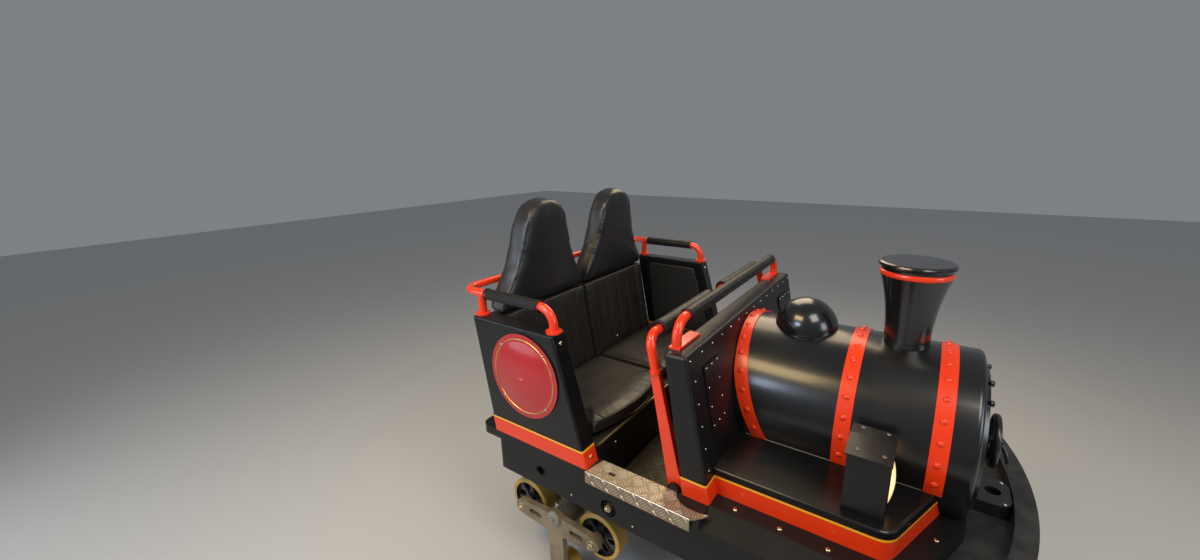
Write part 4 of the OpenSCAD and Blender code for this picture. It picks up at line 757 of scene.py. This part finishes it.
def puff(obj, held, cap):
    """Lets obj swell under pressure as cloth, with the held vertices fixed, by cap metres at most."""
    start = coords(obj.data)
    normals = coords(obj.data, "normal")
    keep = held(start)
    group = obj.vertex_groups.new(name="held")
    group.add([int(k) for k in np.nonzero(keep)[0]], 1.0, "REPLACE")
    cloth = obj.modifiers.new("cloth", "CLOTH")
    cs = cloth.settings
    cs.quality = 4
    cs.mass = 0.3
    cs.tension_stiffness = cs.compression_stiffness = 12
    cs.shear_stiffness = 5
    cs.bending_stiffness = 0.6
    cs.use_pressure = True
    cs.uniform_pressure_force = 4
    cs.effector_weights.gravity = 0
    cs.vertex_group_mass = "held"
    cloth.collision_settings.use_collision = False
    cloth.point_cache.frame_start = 1
    cloth.point_cache.frame_end = CLOTH_FRAMES
    scene = bpy.context.scene
    for frame_number in range(1, CLOTH_FRAMES + 1):
        scene.frame_set(frame_number)
    swollen = coords(obj.evaluated_get(bpy.context.evaluated_depsgraph_get()).data)
    scene.frame_set(1)
    obj.modifiers.clear()
    obj.vertex_groups.clear()
    move = swollen - start
    length = np.maximum(np.linalg.norm(move, axis=1), 1e-9)
    set_coords(obj.data, start + move * (cap * np.tanh(length / cap) / length)[:, None])


def soften(obj, iterations):
    smoothing = obj.modifiers.new("soften", "SMOOTH")
    smoothing.factor = 0.5
    smoothing.iterations = iterations


# Waves per metre of the coarse and the fine unevenness, and the share of the fine one
COARSE_WAVES, FINE_WAVES, FINE_SHARE = 22, 60, 0.5


def unevenness(point):
    p = Vector(point)
    return mathutils.noise.noise(p * COARSE_WAVES) + FINE_SHARE * mathutils.noise.noise(p * FINE_WAVES)


def padded_piece(node, name, mat, side=0, shrink=0.002, voxel=0.008, rounding=6, cap=0.0, held=None,
                 calm=3, sew=None, fill=0.7, body="root", noise=0.0004):
    """A soft piece that replaces a node, or its half: it swells by cap metres where held doesn't hold it,
    is calmed again, and sew gives its grooves and crowns as a push along the normals."""
    obj = take(node, name, side, shrink)
    remesh = obj.modifiers.new("remesh", "REMESH")
    remesh.mode = "VOXEL"
    remesh.voxel_size = voxel
    soften(obj, rounding)
    bake(obj)
    if cap:
        puff(obj, held, cap)
        soften(obj, calm)
    obj.modifiers.new("finer", "SUBSURF").levels = 1
    bake(obj)
    co, normals = coords(obj.data), coords(obj.data, "normal")
    push = np.array([unevenness(p) for p in co]) * noise
    if sew:
        push = push + sew(co, normals)
    set_coords(obj.data, co + normals * push[:, None])
    finish_soft(obj, node, mat, body)
    return obj


def finish_soft(obj, node, mat, body):
    obj.data.materials.clear()
    obj.data.materials.append(M[mat])
    for p in obj.data.polygons:
        p.use_smooth = True
    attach(obj, body)
    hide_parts(node)


def mirrored(obj, name, node, mat, body="root"):
    """The same piece on the left side."""
    me = obj.data.copy()
    co = coords(me)
    co[:, 1] *= -1
    set_coords(me, co)
    me.flip_normals()
    other = link(bpy.data.objects.new(name, me))
    finish_soft(other, node, mat, body)
    return other


def station(co):
    return co[:, 0] * 1000 + MID


def height(co):
    return co[:, 2] * 1000 + GROUND


def groove(d, width, depth):
    """A soft groove; d and width in mm, depth in mm, the result in metres."""
    return -depth / 1000 * np.exp(-(d / width) ** 2)


def crown(d, width, rise):
    """A soft swell; d and width in mm, rise in metres."""
    return rise * np.exp(-(d / width) ** 2)


def facing(normals, axis):
    """From 0 to 1, how far the surface faces along an axis."""
    return np.clip(normals[:, axis], 0, 1) ** 2


# The right seat's middle; the front planes of its lower back and head shell, each by its station at a
# height and its slope, which for the back is its lean over its rise; and, as distances from the seat's
# middle, the back's stitched lines, the edges of its middle panel and the tops of its bolsters
SEAT_Y = -268
BACK_X, BACK_FOOT, BACK_LEAN, BACK_RISE = 165, 98, 57, 345
HEAD_X, HEAD_Z, HEAD_SLOPE = 120.4, 600, 0.079
SEAMS, PANEL_EDGE, BOLSTER = (-88, 0, 88), 182, 224


def across(co):
    """Distance of a point from the seat's middle, in mm to the left."""
    return co[:, 1] * 1000 - SEAT_Y


def back_depth(co):
    """How far a point of the lower back lies behind its front plane, in mm."""
    return BACK_X - (height(co) - BACK_FOOT) * BACK_LEAN / BACK_RISE - station(co)


def head_depth(co):
    """How far a point of the head shell lies behind its front plane, in mm."""
    return HEAD_X + HEAD_SLOPE * (height(co) - HEAD_Z) - station(co)


# The lower back is held within SEAM_HALF of its seams, where it is less than SKIN_DEPTH behind its front
# plane, and wherever it is more than REAR_DEPTH behind it
SEAM_HALF, SKIN_DEPTH, REAR_DEPTH = 5, 20, 70


def back_held(co):
    seams = np.zeros(len(co), bool)
    for s in SEAMS + (-PANEL_EDGE, PANEL_EDGE):
        seams |= (np.abs(across(co) - s) < SEAM_HALF) & (back_depth(co) < SKIN_DEPTH)
    return seams | (back_depth(co) > REAR_DEPTH)


def back_sew(co, normals):
    dy = across(co)
    push = groove(np.abs(dy) - PANEL_EDGE, width=12, depth=4)
    for s in SEAMS:
        push = push + groove(dy - s, width=4, depth=2.6)
    push = push + crown(np.abs(dy) - BOLSTER, width=26, rise=0.005)
    return push * facing(normals, 0)


# How far behind the head shell's front plane its side seam runs, and where its swelling part ends
HEAD_SEAM, HEAD_HELD, HEAD_FOOT = 84, 78, 452


def head_held(co):
    return (head_depth(co) > HEAD_HELD) | (height(co) < HEAD_FOOT)


def head_sew(co, normals):
    side = 1 - np.clip(np.abs(normals[:, 0]), 0, 1) ** 2
    seam = groove(head_depth(co) - HEAD_SEAM, width=4, depth=1.2) * side
    return seam + crown(across(co), width=120, rise=0.004) * facing(normals, 0)


# Height below which a cushion doesn't swell, and its lengthwise seams
CUSHION_HELD, CUSHION_SEAM = 58, 205


def cushion_held(co):
    return height(co) < CUSHION_HELD


def cushion_sew(co, normals):
    dy = across(co)
    push = crown(dy, width=150, rise=0.003) + groove(np.abs(dy) - CUSHION_SEAM, width=5, depth=2)
    return push * facing(normals, 2)


cushion = padded_piece("seat_cushions", "cushion_right", "seat_vinyl", -1, cap=0.006, rounding=9, calm=5,
                       held=cushion_held, sew=cushion_sew, fill=0.8)
back = padded_piece("seat_backs", "back_right", "seat_vinyl", -1, cap=0.007, rounding=9,
                    held=back_held, sew=back_sew, fill=0.8)
head = padded_piece("seat_heads", "head_right", "shell_vinyl", -1, cap=0.005, rounding=20, calm=10,
                    noise=0.0002, held=head_held, sew=head_sew, fill=0.9)
mirrored(cushion, "cushion_left", "seat_cushions", "seat_vinyl")
mirrored(back, "back_left", "seat_backs", "seat_vinyl")
mirrored(head, "head_left", "seat_heads", "shell_vinyl")
bpy.context.view_layer.update()

# Stitching and piping lie where rays going rearward meet the finished back and cushion. The rays start at
# the first two stations. The piping runs near the top of the back and along the front of the cushion, and
# the ranges are heights of the stitching and distances from the seat's middle.
BACK_START, CUSHION_START = 400, 900
STITCH_RANGE = range(112, 436, 9)
BACK_PIPING_Z, BACK_PIPING_RANGE = 434, range(-256, 257, 8)
CUSHION_PIPING_Z, CUSHION_PIPING_RANGE = 90, range(-250, 251, 10)
SEAT_BOLT = (-196, 112)


def laid(target, starts, lift):
    """A path where rays going rearward from starts meet target, lifted a little off it."""
    path = []
    for start in starts:
        found = hit(target, start, BACK)
        if found:
            path.append(found[0] + found[1] * lift)
    return path


stitching = [laid(back, [P(BACK_START, SEAT_Y + s, z) for z in STITCH_RANGE], 0.0002) for s in SEAMS]
back_line = laid(back, [P(BACK_START, SEAT_Y + y, BACK_PIPING_Z) for y in BACK_PIPING_RANGE], 0.0008)
cushion_line = laid(cushion, [P(CUSHION_START, SEAT_Y + y, CUSHION_PIPING_Z)
                              for y in CUSHION_PIPING_RANGE], 0.0006)
tube("back_stitching", both_paths(stitching), 1.1, "stitch", sides=6)
tube("back_piping", both_paths([back_line]), 2.6, "piping")
tube("cushion_piping", both_paths([cushion_line]), 2.4, "piping")
bolts("seat_bolts", both([hit(back, P(BACK_START, *SEAT_BOLT), BACK)]), 5.5, 3.2, "steel")

# Narrow flat strips, covered in vinyl, that close the gap between lower backs and side panels: how far
# behind the back's front plane they lie, their thickness, and their reach in distance and height
STRIP_BEHIND, STRIP_THICK, STRIP_Y, STRIP_Z = 60, 12, (533, 578.5), (47, 410)
for side, word in SIDE_WORDS:
    cell = []
    for z in STRIP_Z:
        front = BACK_X - STRIP_BEHIND - (z - BACK_FOOT) * BACK_LEAN / BACK_RISE
        cell += [P(front - depth, side * y, z) for y in STRIP_Y for depth in (0, STRIP_THICK)]
    blocks("side_strip_" + word, [cell], "trim_vinyl")

# Firm foam: the sleeves of rails and grab bar, the lap pads and the trims inside the side panels
FOAM = dict(shrink=0.0, voxel=0.007, rounding=2, fill=0.9, noise=0.0008)
padded_piece("rail_sleeves", "foam_rails", "sleeve_foam", **FOAM)
padded_piece("grab_sleeve", "foam_grab", "sleeve_foam_y", **FOAM)
for _, word in SIDE_WORDS:
    padded_piece("lap_pad_" + word, "foam_lap_" + word, "sleeve_foam_y", body="lap_bar_" + word, **FOAM)
padded_piece("panel_trims", "trim_pads", "trim_vinyl", shrink=0.0005, voxel=0.007, rounding=2, fill=0.4)

# Axes and ends of the sleeves, and the radius at which a sleeve's seam lies
RAIL_Y, RAIL_Z, RAIL_ENDS = 614, 558, (112, 386)
GRAB_X, GRAB_Z, GRAB_END = 878, 568, 452
LAP_X, LAP_Z, LAP_ENDS = 792, 512, (70.5, 481.5)
SEAM_R, SEAM_STOP, LIP_IN = 22.7, 0.004, 0.5


def sleeve_seam(start, end, turn):
    """A straight seam on a sleeve whose axis runs from start to end, turned from its top by an angle."""
    axis = (end - start).normalized()
    side = axis.cross(Vector(UP))
    way = Vector(UP) * math.cos(math.radians(turn)) + side * math.sin(math.radians(turn))
    return [start + axis * SEAM_STOP + way * SEAM_R / 1000, end - axis * SEAM_STOP + way * SEAM_R / 1000]


rail_axis = [P(x, -RAIL_Y, RAIL_Z) for x in RAIL_ENDS]
grab_axis = [P(GRAB_X, y, GRAB_Z) for y in (-GRAB_END, GRAB_END)]
rail_lips = [circle(P(x, s * RAIL_Y, RAIL_Z), AHEAD, 21, 36)
             for x in (RAIL_ENDS[0] + LIP_IN, RAIL_ENDS[1] - LIP_IN) for s in SIDES]
grab_lips = [circle(P(GRAB_X, s * (GRAB_END - LIP_IN), GRAB_Z), LEFT, 21, 36) for s in SIDES]
tube("rail_seams", both_paths([sleeve_seam(*rail_axis, 58)]), 1.3, "sleeve_foam", sides=6)
tube("grab_seam", [sleeve_seam(*grab_axis, 52)], 1.3, "sleeve_foam", sides=6)
tube("rail_sleeve_lips", rail_lips, 2.4, "sleeve_foam", closed=True)
tube("grab_sleeve_lips", grab_lips, 2.4, "sleeve_foam", closed=True)
for s, word in SIDE_WORDS:
    lap_lips = [circle(P(LAP_X, s * y, LAP_Z), LEFT, 27.6, 40) for y in LAP_ENDS]
    tube("lap_lips_" + word, lap_lips, 2.6, "sleeve_foam", "lap_bar_" + word, closed=True)

# Camera, solved from the photograph: focal length and width in the photograph's pixels, the sensor's width
# in mm and its shift, and its place and axes in the car's frame
FOCAL, PHOTO_WIDTH, SENSOR, SHIFT = 466.9, 1200, 36, (-0.0144, -0.0106)
EYE = Vector((0.62667, -1.74897, 1.80627))
TO_RIGHT = Vector((0.8278895, 0.5606443, -0.0166395))
TO_FOOT = Vector((0.1253543, -0.2138605, -0.9687879))
INWARD = Vector((-0.5467040, 0.7999635, -0.2473320))
cam_data = bpy.data.cameras.new("camera")
cam_data.lens = FOCAL / PHOTO_WIDTH * SENSOR
cam_data.sensor_width = SENSOR
cam_data.shift_x, cam_data.shift_y = SHIFT
cam = link(bpy.data.objects.new("camera", cam_data))
turn = Matrix((TO_RIGHT, -TO_FOOT, -INWARD)).transposed().to_4x4()
cam.matrix_world = Matrix.Translation(EYE) @ turn
bpy.context.scene.camera = cam

# Floor and surroundings
FLOOR_HALF = 14.0
me = bpy.data.meshes.new("floor")
me.from_pydata([(-FLOOR_HALF, -FLOOR_HALF, 0), (FLOOR_HALF, -FLOOR_HALF, 0), (FLOOR_HALF, FLOOR_HALF, 0),
                (-FLOOR_HALF, FLOOR_HALF, 0)], [], [(0, 1, 2, 3)])
floor = link(bpy.data.objects.new("floor", me))
me.materials.append(material("floor_pale", (0.56, 0.55, 0.53), 0.6))

world = bpy.data.worlds.new("studio")
world.use_nodes = True
background = world.node_tree.nodes["Background"]
background.inputs["Color"].default_value = (0.86, 0.92, 1.0, 1)
background.inputs["Strength"].default_value = 0.24
bpy.context.scene.world = world


def area(name, place, aim, size, power, color, size_y):
    d = bpy.data.lights.new(name, "AREA")
    d.energy = power
    d.color = color
    d.size = size
    if size_y:
        d.shape = "RECTANGLE"
        d.size_y = size_y
    o = link(bpy.data.objects.new(name, d))
    o.location = place
    o.rotation_euler = (Vector(aim) - Vector(place)).to_track_quat("-Z", "Y").to_euler()


# name, place, what it aims at, width, power, colour, height if it isn't square
LIGHTS = (
    ("key", (1.9, -1.4, 3.6), (0, 0, 0.8), 1.4, 46, (1, 0.93, 0.84), None),
    ("streak", (-0.75, -1.9, 3.1), (-0.1, -0.1, 1.05), 1.5, 40, (1, 0.74, 0.38), 0.7),
    ("sheen", (-0.9, -2.9, 2.3), (0.2, -0.2, 0.95), 1.0, 26, (0.66, 0.80, 1), 0.6),
    ("over", (-0.5, 1.6, 2.9), (0.2, -0.2, 0.8), 1.6, 38, (1, 0.80, 0.54), None),
    ("side", (-2.6, -3.2, 1.5), (-0.2, 0, 0.9), 2.2, 34, (0.78, 0.87, 1), None),
    ("nose", (3.4, -0.6, 1.9), (0.4, 0, 0.8), 1.2, 24, (0.80, 0.90, 1), None),
)
for light in LIGHTS:
    area(*light)

bpy.context.scene.view_settings.view_transform = "Standard"
